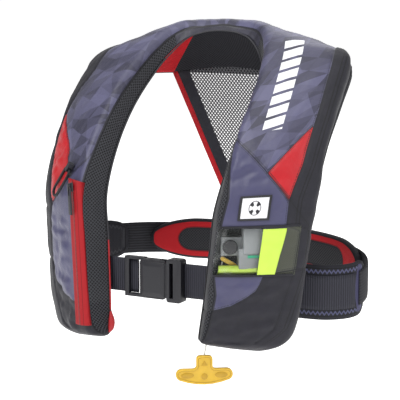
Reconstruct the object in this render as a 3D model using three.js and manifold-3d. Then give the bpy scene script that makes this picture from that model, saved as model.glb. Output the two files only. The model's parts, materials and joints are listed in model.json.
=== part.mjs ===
// Inflatable life jacket: a folded bladder in a zipped cover that goes round the neck, with a mesh back yoke,
// a waist belt with a side-release buckle, a zip pocket and a manual pull handle under the inflator.
// Millimetres, +Z up, +X to the wearer's left, the wearer faces -Y. The origin is on the torso's axis,
// level with the seat of the collar at the nape.
import * as THREE from "three";
import { mergeVertices } from "three/addons/utils/BufferGeometryUtils.js";
import Module from "manifold-3d";

const wasm = await Module();
wasm.setup();

// ---- Driving dimensions ----
const gap = 0.3; // between pieces that touch
const seatLevel = 200; // height of the collar's seat over the chest line that the outline is drawn from

const cover = { wall: 2.2, corner: 13, crown: 5, bottomWall: 2.5 };
const panel = { thick: 3, overhang: 0.5 }; // back panel against the wearer
const bladderClear = 1.2;
const closureZip = { thick: 2.4, width: 17, clear: 1.1 };
const piping = { width: 2.4, clear: 0.9 };

const web = { width: 50, thick: 2 }; // belt webbing
const wingPort = { width: 80, thick: 3, topStation: 2.8 };
const wingStarboard = { width: 64, thick: 3, topStation: 2.7 };
const strapRoom = 1.1; // between a lobe's back panel and the strap behind it
const backPad = { width: 66, thick: 8, flatHalf: 40 };

const yoke = {
  topHalf: 112, topLevel: -6, bottomHalf: 17, bottomLevel: -262, thick: 2,
  trim: 9, binding: 19, topDepth: 109, bottomDepth: 158,
};

const bay = { left: -62, right: 9, half: 34, floor: -8, station: 18.95 }; // inflator bay in the port lobe
const film = { left: -61, right: 39, half: 33, thick: 0.8 };
const cylinder = { radius: 12.5, length: 84, x: -13, start: 29.6, z: -1 };
const cap = { radius: 11, x: -44, y: 3, thick: 5 };
const lever = { length: 20, x: -36.7, y: -24, tip: 3, thick: 4, rise: 30 };
const cord = { radius: 1, edge: 9, free: 13 };
const handle = { width: 81, height: 42, bar: 23, tip: 8.5, bow: 0.36, stem: 23, fillet: 5, thick: 6 };

const pocketZip = { tape: 22, edge: 1, thick: 1.4, topZ: 32, bottomZ: -171, line: 0.45, lift: 0.85 };
const slider = { length: 13, width: 10, thick: 3.8, z: 24, ride: 1.6 };
const puller = { length: 38, width: 6.4, thick: 2.6, pin: 1.2 };
const accessoryLoop = { width: 22, length: 52, wire: 3, edge: 34, z: 45, turn: 27, stand: 2.9, slot: 2.9,
  anchorWall: 1.2 };
const badge = { width: 40, height: 30, x: -20, level: 17, thick: 1.2 };

const buckle = {
  x: -5.5, y: -119, z: -97, height: web.width + 7, depth: 14, wall: 2.6,
  socket: 43, frame: 28, bar: 7, rail: 4, plug: 24, plugHeight: web.width + 13, reach: 32,
  armWall: 5, armZ: 15.5, padLength: 17, tongue: 14, clear: 0.6, strapRoom: 0.8,
};

// ---- Materials ----
const cloth = (color, roughness = 0.8) => new THREE.MeshStandardMaterial({ color, roughness,
  metalness: 0 });
const navyCloth = cloth(0x5a577c, 0.6);
const blackCloth = cloth(0x26272c);
const blackMesh = cloth(0x1c1e24, 0.9);
const redCloth = cloth(0xc81e30, 0.7);
const webbing = cloth(0x2a2a30, 0.75);
const limeCloth = cloth(0xd6f04a, 0.5);
const clearFilm = cloth(0xb8bdb0, 0.15);
const greyPlastic = cloth(0x9a9d9c, 0.35);
const blackPlastic = cloth(0x2b2b31, 0.45);
const yellowPlastic = cloth(0xf2b93a, 0.4);
const greenPlastic = cloth(0x1fa36a, 0.4);
const whitePatch = cloth(0xe8e6ee, 0.6);
const steel = new THREE.MeshStandardMaterial({ color: 0x8a8f94, roughness: 0.35, metalness: 0.9 });

const life = new THREE.Group();

// ---- Solids ----
function solidOf(geometry) {
  const bare = geometry.clone();
  for (const name of Object.keys(bare.attributes)) if (name !== "position") bare.deleteAttribute(name);
  const merged = mergeVertices(bare, 1e-4);
  const triVerts = new Uint32Array(merged.index.array);
  return new wasm.Manifold(new wasm.Mesh({ numProp: 3, vertProperties: merged.attributes.position.array,
    triVerts }));
}

function geometryOf(solid) {
  const mesh = solid.getMesh();
  const geometry = new THREE.BufferGeometry();
  geometry.setAttribute("position", new THREE.BufferAttribute(new Float32Array(mesh.vertProperties), 3));
  geometry.setIndex(new THREE.BufferAttribute(new Uint32Array(mesh.triVerts), 1));
  return geometry;
}

function put(name, geometry, material, parent = life) {
  const mesh = new THREE.Mesh(geometry, material);
  mesh.name = name;
  parent.add(mesh);
  return mesh;
}

// A closed skin through rings of points that all have the same count.
function skin(rings) {
  const count = rings[0].length;
  const points = rings.flat();
  const positions = points.flatMap((p) => [p.x, p.y, p.z]);
  const index = [];
  for (let i = 0; i + 1 < rings.length; i++) {
    for (let j = 0; j < count; j++) {
      const a = i * count + j;
      const b = i * count + ((j + 1) % count);
      // each twisted quad is split on its shorter diagonal, so neighbouring skins fold alike
      if (points[b].distanceTo(points[a + count]) < points[a].distanceTo(points[b + count])) {
        index.push(a, b, a + count, b, b + count, a + count);
      } else {
        index.push(a, b, b + count, a, b + count, a + count);
      }
    }
  }
  const capOf = (ring, offset, flip) => {
    const u = ring[1].clone().sub(ring[0]).normalize();
    const normal = new THREE.Vector3();
    ring.forEach((p, j) => normal.add(p.clone().cross(ring[(j + 1) % count])));
    const v = normal.normalize().clone().cross(u);
    const flat = ring.map((p) => new THREE.Vector2(p.dot(u), p.dot(v)));
    for (const [a, b, c] of THREE.ShapeUtils.triangulateShape(flat, [])) {
      index.push(...(flip ? [offset + a, offset + c, offset + b] : [offset + a, offset + b, offset + c]));
    }
  };
  capOf(rings[0], 0, true);
  capOf(rings.at(-1), (rings.length - 1) * count, false);
  const geometry = new THREE.BufferGeometry();
  geometry.setAttribute("position", new THREE.Float32BufferAttribute(positions, 3));
  geometry.setIndex(index);
  if (volumeOf(geometry) < 0) {
    for (let i = 0; i < index.length; i += 3) [index[i + 1], index[i + 2]] = [index[i + 2], index[i + 1]];
    geometry.setIndex(index);
  }
  return geometry;
}

function volumeOf(geometry) {
  const at = (i) => new THREE.Vector3().fromBufferAttribute(geometry.attributes.position,
    geometry.index.getX(i));
  let sum = 0;
  for (let i = 0; i < geometry.index.count; i += 3) sum += at(i).dot(at(i + 1).cross(at(i + 2)));
  return sum / 6;
}

function box(x0, x1, y0, y1, z0, z1) {
  return new THREE.BoxGeometry(x1 - x0, y1 - y0, z1 - z0).translate((x0 + x1) / 2, (y0 + y1) / 2,
    (z0 + z1) / 2);
}

function plate(shape, thick) {
  return new THREE.ExtrudeGeometry(shape, { depth: thick, bevelEnabled: false, curveSegments: 6 });
}

// A rectangle with round corners, centred on the origin.
function roundedShape(width, height, radius) {
  const x = width / 2;
  const y = height / 2;
  const shape = new THREE.Shape();
  shape.moveTo(-x + radius, -y);
  shape.lineTo(x - radius, -y);
  shape.absarc(x - radius, -y + radius, radius, -Math.PI / 2, 0);
  shape.lineTo(x, y - radius);
  shape.absarc(x - radius, y - radius, radius, 0, Math.PI / 2);
  shape.lineTo(-x + radius, y);
  shape.absarc(-x + radius, y - radius, radius, Math.PI / 2, Math.PI);
  shape.lineTo(-x, -y + radius);
  shape.absarc(-x + radius, -y + radius, radius, Math.PI, 1.5 * Math.PI);
  return shape;
}

// ---- The band: a padded strip from the starboard lobe's foot, round the nape, to the port lobe's foot ----
// Stations of one side, foot to nape: inner edge, outer edge, thickness, how far the port side is lifted, and
// how far the starboard side hangs lower.
const stations = [
  { inner: [83, -157, -179], outer: [158, -108, -193], thick: 26, lift: 0, drop: 8 },
  { inner: [85, -156, -165], outer: [187, -87, -171], thick: 35, lift: 0, drop: 4 },
  { inner: [90, -152, -120], outer: [200, -78, -120], thick: 40, lift: 0 },
  { inner: [97, -146, -45], outer: [208, -69, -45], thick: 42, lift: 0 },
  { inner: [103, -140, 20], outer: [214, -60, 22], thick: 42, lift: 2 },
  { inner: [105, -103, 88], outer: [216, -28, 92], thick: 40, lift: 5 },
  { inner: [104, -48, 150], outer: [216, 17, 152], thick: 38, lift: 9 },
  { inner: [96, 12, 202], outer: [210, 60, 192], thick: 36, lift: 14 },
  { inner: [82, 45, 232], outer: [186, 92, 197], thick: 34, lift: 9 },
  { inner: [62, 68, 250], outer: [138, 117, 195], thick: 32, lift: 2 },
  { inner: [34, 82, 257], outer: [72, 127, 194], thick: 32, lift: 0 },
];
const nape = { inner: [0, 86, 259], outer: [0, 130, 194], thick: 32, lift: 0 };

const portSide = (s) => ({
  inner: new THREE.Vector3(...s.inner),
  outer: new THREE.Vector3(s.outer[0] + s.lift / 3, s.outer[1], s.outer[2] + s.lift),
  thick: s.thick,
});
const starboardSide = ({ drop = 0, ...s }) => ({
  inner: new THREE.Vector3(-s.inner[0], s.inner[1], s.inner[2] - drop),
  outer: new THREE.Vector3(-s.outer[0], s.outer[1], s.outer[2] - drop),
  thick: s.thick,
});
const path = [...stations.map(starboardSide), portSide(nape), ...stations.map(portSide).reverse()];
for (const p of path) {
  p.inner.z -= seatLevel;
  p.outer.z -= seatLevel;
}
const last = path.length - 1;
const innerCurve = new THREE.CatmullRomCurve3(path.map((p) => p.inner), false, "catmullrom", 0.5);
const outerCurve = new THREE.CatmullRomCurve3(path.map((p) => p.outer), false, "catmullrom", 0.5);
const thickCurve = new THREE.CatmullRomCurve3(path.map((p) => new THREE.Vector3(p.thick, 0, 0)), false,
  "catmullrom", 0.5);

// Frame of the band at station k: x runs from the inner to the outer edge, n out from the wearer.
function bandFrame(k) {
  const at = (curve, q) => curve.getPoint(THREE.MathUtils.clamp(q, 0, last) / last);
  const inner = at(innerCurve, k);
  const outer = at(outerCurve, k);
  const middle = (q) => at(innerCurve, q).add(at(outerCurve, q)).multiplyScalar(0.5);
  const along = middle(k + 0.05).sub(middle(k - 0.05)).normalize();
  const across = outer.clone().sub(inner).normalize();
  const out = along.clone().cross(across).normalize();
  return { centre: middle(k), across, out, width: inner.distanceTo(outer), thick: at(thickCurve, k).x };
}

function bandPoint(f, s, h) {
  return f.centre.clone().addScaledVector(f.across, s).addScaledVector(f.out, h);
}

// Height of the front face over the mid-plane at s from the middle.
function faceHeight(f, s, inset = 0) {
  const half = f.width / 2 - inset;
  const corner = Math.max(cover.corner - inset, 2);
  const top = f.thick / 2 - inset;
  const over = Math.abs(s) - (half - corner);
  if (over > 0) return top - corner + Math.sqrt(Math.max(corner * corner - over * over, 0));
  return top + cover.crown * (1 - (s / (half - corner)) ** 2);
}

// Section of the cover pushed in by inset, down to h = low.
function section(f, inset, low) {
  const half = f.width / 2 - inset;
  const corner = Math.max(cover.corner - inset, 2);
  const stops = [half, half - corner * 0.13, half - corner * 0.5, half - corner, half * 0.42, 0];
  const right = stops.map((s) => [s, faceHeight(f, s, inset)]);
  const left = right.slice(0, -1).reverse().map(([s, h]) => [-s, h]);
  return [...flatRow(-half, half, low), ...right, ...left];
}

// Points at one height from s = a to s = b.
function flatRow(a, b, h) {
  return [0, 0.25, 0.5, 0.75, 1].map((q) => [a + (b - a) * q, h]);
}

function bandLoft(ks, ringOf) {
  return skin(ks.map((k) => {
    const f = bandFrame(k);
    return ringOf(f, k).map(([s, h]) => bandPoint(f, s, h));
  }));
}

function steps(from, to, size) {
  const count = Math.max(1, Math.round((to - from) / size));
  return Array.from({ length: count + 1 }, (_, i) => from + ((to - from) * i) / count);
}

// A thin layer on the front face between two lines of s. The lines and the thickness may change
// along the band.
function faceLayer(ks, lineA, lineB, lift, thickAt, columns) {
  return skin(ks.map((k) => {
    const f = bandFrame(k);
    const a = lineA(f, k);
    const b = lineB(f, k);
    const low = steps(0, columns, 1).map((i) => a + ((b - a) * i) / columns);
    const under = low.map((s) => bandPoint(f, s, faceHeight(f, s) + lift));
    const over = low.map((s) => bandPoint(f, s, faceHeight(f, s) + lift + thickAt(k))).reverse();
    return [...under, ...over];
  }));
}

// Stations from one place to another by way of every half station between them.
function gridSteps(from, to, size) {
  const inside = [];
  for (let k = Math.floor(from / size + 1) * size; k < to - 1e-6; k += size) inside.push(k);
  return [from, ...inside, to];
}

const seamStarboard = 8;
const seamPort = last - seamStarboard;
const seamGap = 0.02;
const sections = [
  { name: "starboard", ks: gridSteps(0, seamStarboard, 0.5), foot: "start" },
  { name: "collar", ks: gridSteps(seamStarboard + seamGap, seamPort - seamGap, 0.5), foot: "none" },
  { name: "port", ks: gridSteps(seamPort, last, 0.5), foot: "end" },
];

// The inner space of a cover section, which runs past its open ends and stops short of its foot.
function spaceRings(s, inset, low) {
  const ks = [...s.ks];
  const footStep = cover.bottomWall / 14; // a station near the foot is about 14 mm long
  if (s.foot === "start") ks[0] += footStep;
  if (s.foot === "end") ks[ks.length - 1] -= footStep;
  const rings = ks.map((k) => {
    const f = bandFrame(k);
    return section(f, inset, low(f)).map(([a, h]) => bandPoint(f, a, h));
  });
  const slide = (ring, next) => ring.map((p, i) => p.clone().addScaledVector(p.clone()
    .sub(next[i]).normalize(), 4));
  if (s.foot !== "start") rings.unshift(slide(rings[0], rings[1]));
  if (s.foot !== "end") rings.push(slide(rings.at(-1), rings.at(-2)));
  return rings;
}

// Local frame on a lobe: x to the wearer's left, y up the lobe, z out of the front.
function lobeMatrix(k, side) {
  const f = bandFrame(k);
  const x = f.across.clone().multiplyScalar(side === "port" ? 1 : -1);
  const y = f.out.clone().cross(x);
  return new THREE.Matrix4().makeBasis(x, y, f.out).setPosition(f.centre);
}

function lobeGroup(k, side) {
  const group = new THREE.Group();
  group.applyMatrix4(lobeMatrix(k, side));
  life.add(group);
  return group;
}

const bayMatrix = lobeMatrix(bay.station, "port");
const bayFrame = bandFrame(bay.station);
const leverRise = THREE.MathUtils.degToRad(lever.rise);
const cordTop = new THREE.Vector3(lever.x - lever.length * Math.cos(leverRise),
  lever.y + lever.length * Math.sin(leverRise) - lever.tip - 5 * gap, 0);
const footFrame = bandFrame(last);
const cordFoot = bandPoint(footFrame, -footFrame.width / 2 + cord.edge, 0);
const cordStart = cordTop.clone().applyMatrix4(bayMatrix);
const cordWay = cordFoot.clone().sub(cordStart).normalize();
const cordEnd = cordFoot.clone().addScaledVector(cordWay, cord.free);

function rod(a, b, radius, sides) {
  const middle = a.clone().add(b).multiplyScalar(0.5);
  const turn = new THREE.Quaternion().setFromUnitVectors(new THREE.Vector3(0, 1, 0),
    b.clone().sub(a).normalize());
  return new THREE.CylinderGeometry(radius, radius, a.distanceTo(b),
    sides).applyQuaternion(turn).translate(middle.x, middle.y, middle.z);
}

// ---- Covers, back panels and the bladder ----
const windowCut = solidOf(box(film.left + 2, film.right - 3, -film.half + 3, film.half - 3, 4,
  40).applyMatrix4(bayMatrix));
const cordHole = solidOf(rod(cordFoot.clone().addScaledVector(cordWay, -30),
  cordFoot.clone().addScaledVector(cordWay, 12), cord.radius + 1.5, 10));
for (const s of sections) {
  const outer = solidOf(bandLoft(s.ks, (f) => section(f, 0, -f.thick / 2)));
  const inner = solidOf(skin(spaceRings(s, cover.wall, (f) => -f.thick / 2 - 3)));
  let shell = outer.subtract(inner);
  if (s.name === "port") shell = shell.subtract(windowCut).subtract(cordHole);
  put(`front_cover_${s.name}`, geometryOf(shell), navyCloth);
  put(`back_panel_${s.name}`, bandLoft(s.ks, (f) => {
    const half = f.width / 2 + panel.overhang;
    const top = -f.thick / 2 - gap;
    return [...flatRow(-half, half, top - panel.thick), ...flatRow(half, -half, top)];
  }), blackMesh);
}

const bladderInset = cover.wall + bladderClear;
const bladderLoft = solidOf(bandLoft(gridSteps(0.55, last - 0.55, 0.5), (f) =>
  section(f, bladderInset, -f.thick / 2 + 2 * gap)));
const bayCut = solidOf(box(bay.left, bay.right, -bay.half, bay.half + 4, bay.floor,
  40).applyMatrix4(bayMatrix));
const bottleCut = solidOf(box(cylinder.x - cylinder.radius - 2, cylinder.x + cylinder.radius + 2,
  -cylinder.start - cylinder.length - 3, 0, cylinder.z - cylinder.radius - gap,
    40).applyMatrix4(bayMatrix));
const cordSlot = solidOf(rod(cordStart, cordEnd, cord.radius + 5, 8));
const tube = { radius: 6, length: 92, x: -30, station: 3.4 };
const tubeMatrix = lobeMatrix(tube.station, "starboard");
const tubeCut = solidOf(box(tube.x - 32, tube.x + 32, -tube.length / 2 - 12, tube.length / 2 + 26, 1,
  40).applyMatrix4(tubeMatrix));
put("bladder", geometryOf(bladderLoft.subtract(bayCut).subtract(bottleCut).subtract(cordSlot)
  .subtract(tubeCut)), limeCloth);

// ---- Closure zip along the outer edge and piping along the inner edge ----
const edgeSteps = gridSteps(0, last, 0.5);
put("closure_zip", bandLoft(edgeSteps, (f) => {
  const near = f.width / 2 + panel.overhang + closureZip.clear;
  const low = -f.thick / 2 - gap - panel.thick;
  return [[near, low], [near + closureZip.thick, low], [near + closureZip.thick, low + closureZip.width],
    [near, low + closureZip.width]];
}), blackCloth);
put("edge_piping", bandLoft(edgeSteps, (f) => {
  const near = -f.width / 2 - panel.overhang - gap;
  const low = -f.thick / 2 - gap - panel.thick;
  const high = -f.thick / 2 - piping.clear;
  return [[near - piping.width, low], [near, low], [near, high], [near - piping.width, high]];
}), redCloth);

// ---- Inflator behind its window ----
const inflator = lobeGroup(bay.station, "port");
const blockTop = faceHeight(bayFrame, 0) - cover.wall - 2;
const bodyFloor = bay.floor + gap;
const inflatorBody = solidOf(box(-33, 4, -29, 2, bodyFloor, blockTop - 3))
  .add(solidOf(box(-27, 4, -5, 31, bodyFloor, blockTop - 1)))
  .add(solidOf(box(-57, -20, -9, 17.4, bodyFloor, 7)));
put("inflator_body", geometryOf(inflatorBody), greyPlastic, inflator);
const bottle = new THREE.LatheGeometry([[0, 0], [6, 0], [6, 6], [cylinder.radius, 12], [cylinder.radius,
  cylinder.length - 8],
  [cylinder.radius * 0.7, cylinder.length - 2], [0, cylinder.length]].map(([r, y]) => new THREE.Vector2(r,
    y)), 14);
put("gas_cylinder", bottle.rotateZ(Math.PI).translate(cylinder.x, -cylinder.start, cylinder.z), steel,
  inflator);
const capBase = 7 + gap;
put("inflator_cap", new THREE.CylinderGeometry(cap.radius - 1, cap.radius, cap.thick,
  18).rotateX(Math.PI / 2)
  .translate(cap.x, cap.y, capBase + cap.thick / 2), blackPlastic, inflator);
put("status_indicator", box(-21, -2, -11, -7, blockTop - 3 + gap, blockTop - 3 + gap + 1.2), greenPlastic,
  inflator);
const leverGroup = new THREE.Group();
leverGroup.position.set(lever.x, lever.y, 0);
leverGroup.rotation.z = Math.PI - leverRise;
inflator.add(leverGroup);
const leverShape = new THREE.Shape();
leverShape.absarc(0, 0, lever.tip, Math.PI / 2, 1.5 * Math.PI);
leverShape.absarc(lever.length, 0, lever.tip, -Math.PI / 2, Math.PI / 2);
put("pull_lever", plate(leverShape, lever.thick).translate(0, 0, -lever.thick / 2), yellowPlastic,
  leverGroup);

put("inflator_window", faceLayer(steps(bay.station - 0.44, bay.station + 0.47, 0.2), () => film.left,
  () => film.right,
  0.5, () => film.thick, 8), clearFilm);

// ---- Pull cord and handle ----
put("pull_cord", rod(cordStart, cordEnd, cord.radius, 8), whitePatch);
// A T whose bar has round ends and a bowed lower edge: bow is the angle at which that edge leaves the ends.
function handleShape() {
  const stemHalf = handle.stem / 2;
  const barTop = handle.bar - handle.height;
  const endX = handle.width / 2 - handle.tip;
  const endY = barTop - handle.tip;
  const leave = handle.bow - Math.PI / 2;
  const lowX = endX + handle.tip * Math.cos(leave);
  const lowY = endY + handle.tip * Math.sin(leave);
  const shape = new THREE.Shape();
  shape.moveTo(-stemHalf, barTop + handle.fillet);
  shape.lineTo(-stemHalf, -6);
  shape.quadraticCurveTo(-stemHalf, 0, -stemHalf + 6, 0);
  shape.lineTo(stemHalf - 6, 0);
  shape.quadraticCurveTo(stemHalf, 0, stemHalf, -6);
  shape.lineTo(stemHalf, barTop + handle.fillet);
  shape.quadraticCurveTo(stemHalf, barTop, stemHalf + handle.fillet, barTop);
  shape.lineTo(endX, barTop);
  shape.absarc(endX, endY, handle.tip, Math.PI / 2, leave, true);
  shape.quadraticCurveTo(0, 2 * (barTop - handle.bar) - lowY, -lowX, lowY);
  shape.absarc(-endX, endY, handle.tip, Math.PI - leave, Math.PI / 2, true);
  shape.lineTo(-stemHalf - handle.fillet, barTop);
  shape.quadraticCurveTo(-stemHalf, barTop, -stemHalf, barTop + handle.fillet);
  return shape;
}
const handleGroup = new THREE.Group();
handleGroup.applyMatrix4(new THREE.Matrix4().makeBasis(bayFrame.across.clone().setZ(0).normalize(),
  new THREE.Vector3(0, 0, 1),
  bayFrame.out.clone().setZ(0).normalize()).setPosition(cordEnd));
life.add(handleGroup);
put("pull_handle", plate(handleShape(), handle.thick).translate(0, -gap, -handle.thick / 2), yellowPlastic,
  handleGroup);

// ---- Oral tube, its dust cap and the whistle, inside the starboard lobe ----
const tubeGroup = lobeGroup(tube.station, "starboard");
const tubeHeight = 1 + gap + tube.radius;
put("oral_tube", new THREE.CylinderGeometry(tube.radius, tube.radius, tube.length, 14).translate(tube.x, 0,
  tubeHeight), blackPlastic, tubeGroup);
put("oral_tube_cap", new THREE.CylinderGeometry(tube.radius + 0.5, tube.radius + 0.5, 10, 14)
  .translate(tube.x, tube.length / 2 + gap + 5, tubeHeight + 0.5), redCloth, tubeGroup);
put("whistle", box(tube.x + 12, tube.x + 26, -30, 20, 1 + gap, 9), yellowPlastic, tubeGroup);

// ---- Zip pocket on the starboard lobe ----
const stationAt = (z, from, to) => {
  for (let i = 0; i < 40; i++) {
    const middle = (from + to) / 2;
    if (innerCurve.getPoint(middle / last).z < z - seatLevel) from = middle;
    else to = middle;
  }
  return (from + to) / 2;
};
const zipTop = stationAt(pocketZip.topZ, 0, 7);
const zipFoot = stationAt(pocketZip.bottomZ, 0, 7);
const zipInner = (f) => -f.width / 2 + pocketZip.edge;
const zipLine = (f) => zipInner(f) + pocketZip.tape * pocketZip.line;
const zipPointAt = (k, rise) => {
  const f = bandFrame(k);
  return bandPoint(f, zipLine(f), faceHeight(f, zipLine(f)) + rise);
};
// The teeth run straight, so the tape is thicker where the lobe bends away from them.
const zipLow = zipPointAt(1.4, 0);
const zipDown = zipLow.clone().sub(zipPointAt(4, 0)).normalize();
const zipOffset = (k) => {
  const across = zipPointAt(k, 0).sub(zipLow);
  return across.addScaledVector(zipDown, -across.dot(zipDown)).dot(bandFrame(k).out);
};
const zipSteps = [zipFoot, ...gridSteps(1, zipTop, 0.25)];
const zipRise = Math.max(...zipSteps.map(zipOffset));
put("pocket_zip_tape", faceLayer(zipSteps, zipInner, (f) => zipInner(f) + pocketZip.tape,
  pocketZip.lift, (k) => pocketZip.thick + zipRise - zipOffset(k), 6), redCloth);
const sliderStation = stationAt(slider.z, 0, 7);
const sliderHome = zipPointAt(sliderStation,
  pocketZip.lift + pocketZip.thick + zipRise - zipOffset(sliderStation) + slider.ride);
const sliderFrame = bandFrame(sliderStation);
const zipAcross = sliderFrame.across.clone().negate();
const zipOut = zipAcross.clone().cross(zipDown.clone().negate()).normalize();
const sliderGroup = new THREE.Group();
sliderGroup.applyMatrix4(new THREE.Matrix4().makeBasis(zipDown.clone().negate().cross(zipOut),
  zipDown.clone().negate(), zipOut)
  .setPosition(sliderHome));
life.add(sliderGroup);
const sliderBody = solidOf(box(-slider.width / 2, slider.width / 2, -slider.length / 2, slider.length / 2,
  0, slider.thick * 0.55))
  .add(solidOf(box(-1.5, 1.5, -slider.length / 2 + 1, slider.length / 2 - 1, 1, slider.thick + 3)))
  .subtract(solidOf(new THREE.CylinderGeometry(2, 2, 8, 12).rotateZ(Math.PI / 2).translate(0, -2.2,
    slider.thick + 0.2)));
put("zip_slider", geometryOf(sliderBody), blackPlastic, sliderGroup);
const pinSpot = { y: -2.2, z: slider.thick + 0.2 };
const pullerPin = solidOf(new THREE.CylinderGeometry(puller.pin, puller.pin, puller.width,
  10).rotateZ(Math.PI / 2));
const pullerArms = [-1, 1].map((side) => solidOf(box(side * (puller.width / 2) - 0.9,
  side * (puller.width / 2) + 0.9,
  -11, puller.pin, -puller.pin, puller.pin)));
const pullerTail = solidOf(box(-puller.width / 2 - 0.9, puller.width / 2 + 0.9, -puller.length, -10,
  -puller.thick / 2, puller.thick / 2));
put("zip_puller", geometryOf(pullerPin.add(pullerArms[0]).add(pullerArms[1]).add(pullerTail)).translate(0,
  pinSpot.y, pinSpot.z),
  blackCloth, sliderGroup);

// ---- Webbing loop sewn into the slanting seam of the starboard lobe ----
const loopStation = stationAt(accessoryLoop.z, 3, 7);
const loopFrame = bandFrame(loopStation);
const loopS = -loopFrame.width / 2 + accessoryLoop.edge;
const loopGroup = new THREE.Group();
const loopX = loopFrame.across.clone().negate();
loopGroup.applyMatrix4(new THREE.Matrix4().makeBasis(loopX, loopFrame.out.clone().cross(loopX), loopFrame.out)
  .setPosition(bandPoint(loopFrame, loopS, faceHeight(loopFrame, loopS) + gap))
  .multiply(new THREE.Matrix4().makeRotationZ(-THREE.MathUtils.degToRad(accessoryLoop.turn))));
life.add(loopGroup);
const ringWidth = accessoryLoop.width - 2 * accessoryLoop.wire;
const loopOutline = roundedShape(accessoryLoop.width, accessoryLoop.length, accessoryLoop.width / 2 - 0.1);
loopOutline.holes.push(roundedShape(ringWidth, accessoryLoop.length - 2 * accessoryLoop.wire,
  ringWidth / 2 - 0.1));
put("accessory_loop", plate(loopOutline, accessoryLoop.wire).translate(0, -accessoryLoop.length / 2,
  accessoryLoop.stand), webbing, loopGroup);
const pivotY = -accessoryLoop.wire / 2 - 0.5;
const pivotZ = accessoryLoop.stand + accessoryLoop.wire / 2;
const anchorReach = accessoryLoop.slot + accessoryLoop.anchorWall;
const anchorBody = solidOf(box(-4, 4, pivotY - anchorReach, pivotY + anchorReach + 6, gap,
  pivotZ + anchorReach))
  .subtract(solidOf(box(-5, 5, pivotY - accessoryLoop.slot, pivotY + accessoryLoop.slot,
    pivotZ - accessoryLoop.slot, pivotZ + accessoryLoop.slot)));
put("loop_anchor", geometryOf(anchorBody), webbing, loopGroup);

// ---- Blank badge on the port lobe ----
const badgeStation = last - stationAt(badge.level, 0, 7);
const badgeFrames = [bandFrame(badgeStation - 0.5), bandFrame(badgeStation + 0.5)];
const badgeReach = badge.height / 2 / badgeFrames[0].centre.distanceTo(badgeFrames[1].centre);
put("front_badge", faceLayer(steps(badgeStation - badgeReach, badgeStation + badgeReach, badgeReach),
  () => badge.x - badge.width / 2,
  () => badge.x + badge.width / 2, 0.5, () => badge.thick, 3), whitePatch);

// ---- Belt: one line round the waist, starboard buckle end to port buckle end by way of the back ----
const lobeBack = (s, side, level) => {
  const f = bandFrame(side === "port" ? last - wingPort.topStation : wingStarboard.topStation);
  const h = -f.thick / 2 - gap - panel.thick - strapRoom - web.thick - gap - wingPort.thick / 2;
  const p = bandPoint(f, s, h);
  return new THREE.Vector3(p.x, p.y, level - seatLevel);
};
const v3 = (x, y, z) => new THREE.Vector3(x, y, z - seatLevel);
const starboardLine = [v3(-30, buckle.y, -97), v3(-52, buckle.y, -97), v3(-76, buckle.y, -97),
  lobeBack(-50, "starboard", -98),
  lobeBack(0, "starboard", -98), lobeBack(52, "starboard", -97)];
const roundLine = [v3(-214, -28, -96), v3(-226, 14, -93), v3(-214, 62, -91), v3(-172, 112, -90), v3(-100,
  150, -90),
  v3(-backPad.flatHalf, 164, -90), v3(backPad.flatHalf, 164, -90), v3(108, 152, -91), v3(178, 124, -94),
    v3(228, 84, -99),
  v3(252, 38, -106), v3(250, 0, -112), v3(222, -32, -113)];
const portLine = [lobeBack(52, "port", -109), lobeBack(0, "port", -104), lobeBack(-50, "port", -99), v3(76,
  buckle.y, -97),
  v3(52, buckle.y, -97), v3(22, buckle.y, -97)];
const beltLine = [...starboardLine, ...roundLine, ...portLine];
const beltLast = beltLine.length - 1;
const beltCurve = new THREE.CatmullRomCurve3(beltLine, false, "centripetal");
const flatBack = starboardLine.length + 5; // the belt is straight from this control point to the next

// A strip on the belt line, from h0 to h1 out from it; halfOf gives its half height along the way.
function beltStrip(ts, h0, h1, halfOf) {
  return skin(ts.map((t) => {
    const p = beltCurve.getPoint(t / beltLast);
    const squareToBack = t === flatBack || t === flatBack + 1;
    const along = squareToBack ? new THREE.Vector3(1, 0,
      0) : beltCurve.getTangent(t / beltLast).setZ(0).normalize();
    const out = new THREE.Vector3(-along.y, along.x, 0);
    const half = halfOf(t);
    return [[h0, -half], [h1, -half], [h1, half], [h0, half]].map(([h,
      z]) => p.clone().addScaledVector(out, h).setZ(p.z + z));
  }));
}
const beltSteps = (from, to) => gridSteps(from, to, 0.25).filter((t) => t <= flatBack || t >= flatBack + 1);
const halfWeb = () => web.width / 2;
const roundEnd = (t, from, to, half, reach) => {
  const near = Math.min(t - from, to - t) / reach;
  return near >= 1 ? half : half * (0.45 + 0.55 * Math.sqrt(Math.max(0, 1 - (1 - near) ** 2)));
};
const webOut = wingPort.thick / 2 + gap;
put("belt_wing_starboard", beltStrip(beltSteps(3.5, 8.75), -wingStarboard.thick / 2,
  wingStarboard.thick / 2,
  (t) => roundEnd(t, 3.5, 8.75, wingStarboard.width / 2, 0.6)), blackCloth);
put("belt_wing_port", beltStrip(beltSteps(16.25, 20.5), -wingPort.thick / 2, wingPort.thick / 2,
  (t) => roundEnd(t, 16.25, 20.5, wingPort.width / 2, 0.5)), blackCloth);
put("belt_elastic", beltStrip(beltSteps(8.25, 16.75), webOut, webOut + web.thick, halfWeb), webbing);
put("belt_strap_port", beltStrip(beltSteps(17, beltLast), webOut, webOut + web.thick, halfWeb), webbing);
put("belt_strap_starboard", beltStrip(beltSteps(0.25, 6), webOut, webOut + web.thick, halfWeb), webbing);
put("back_pad", beltStrip(beltSteps(9.25, 15), webOut - gap - backPad.thick, webOut - gap,
  (t) => roundEnd(t, 9.25, 15, backPad.width / 2, 1)), redCloth);

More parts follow.
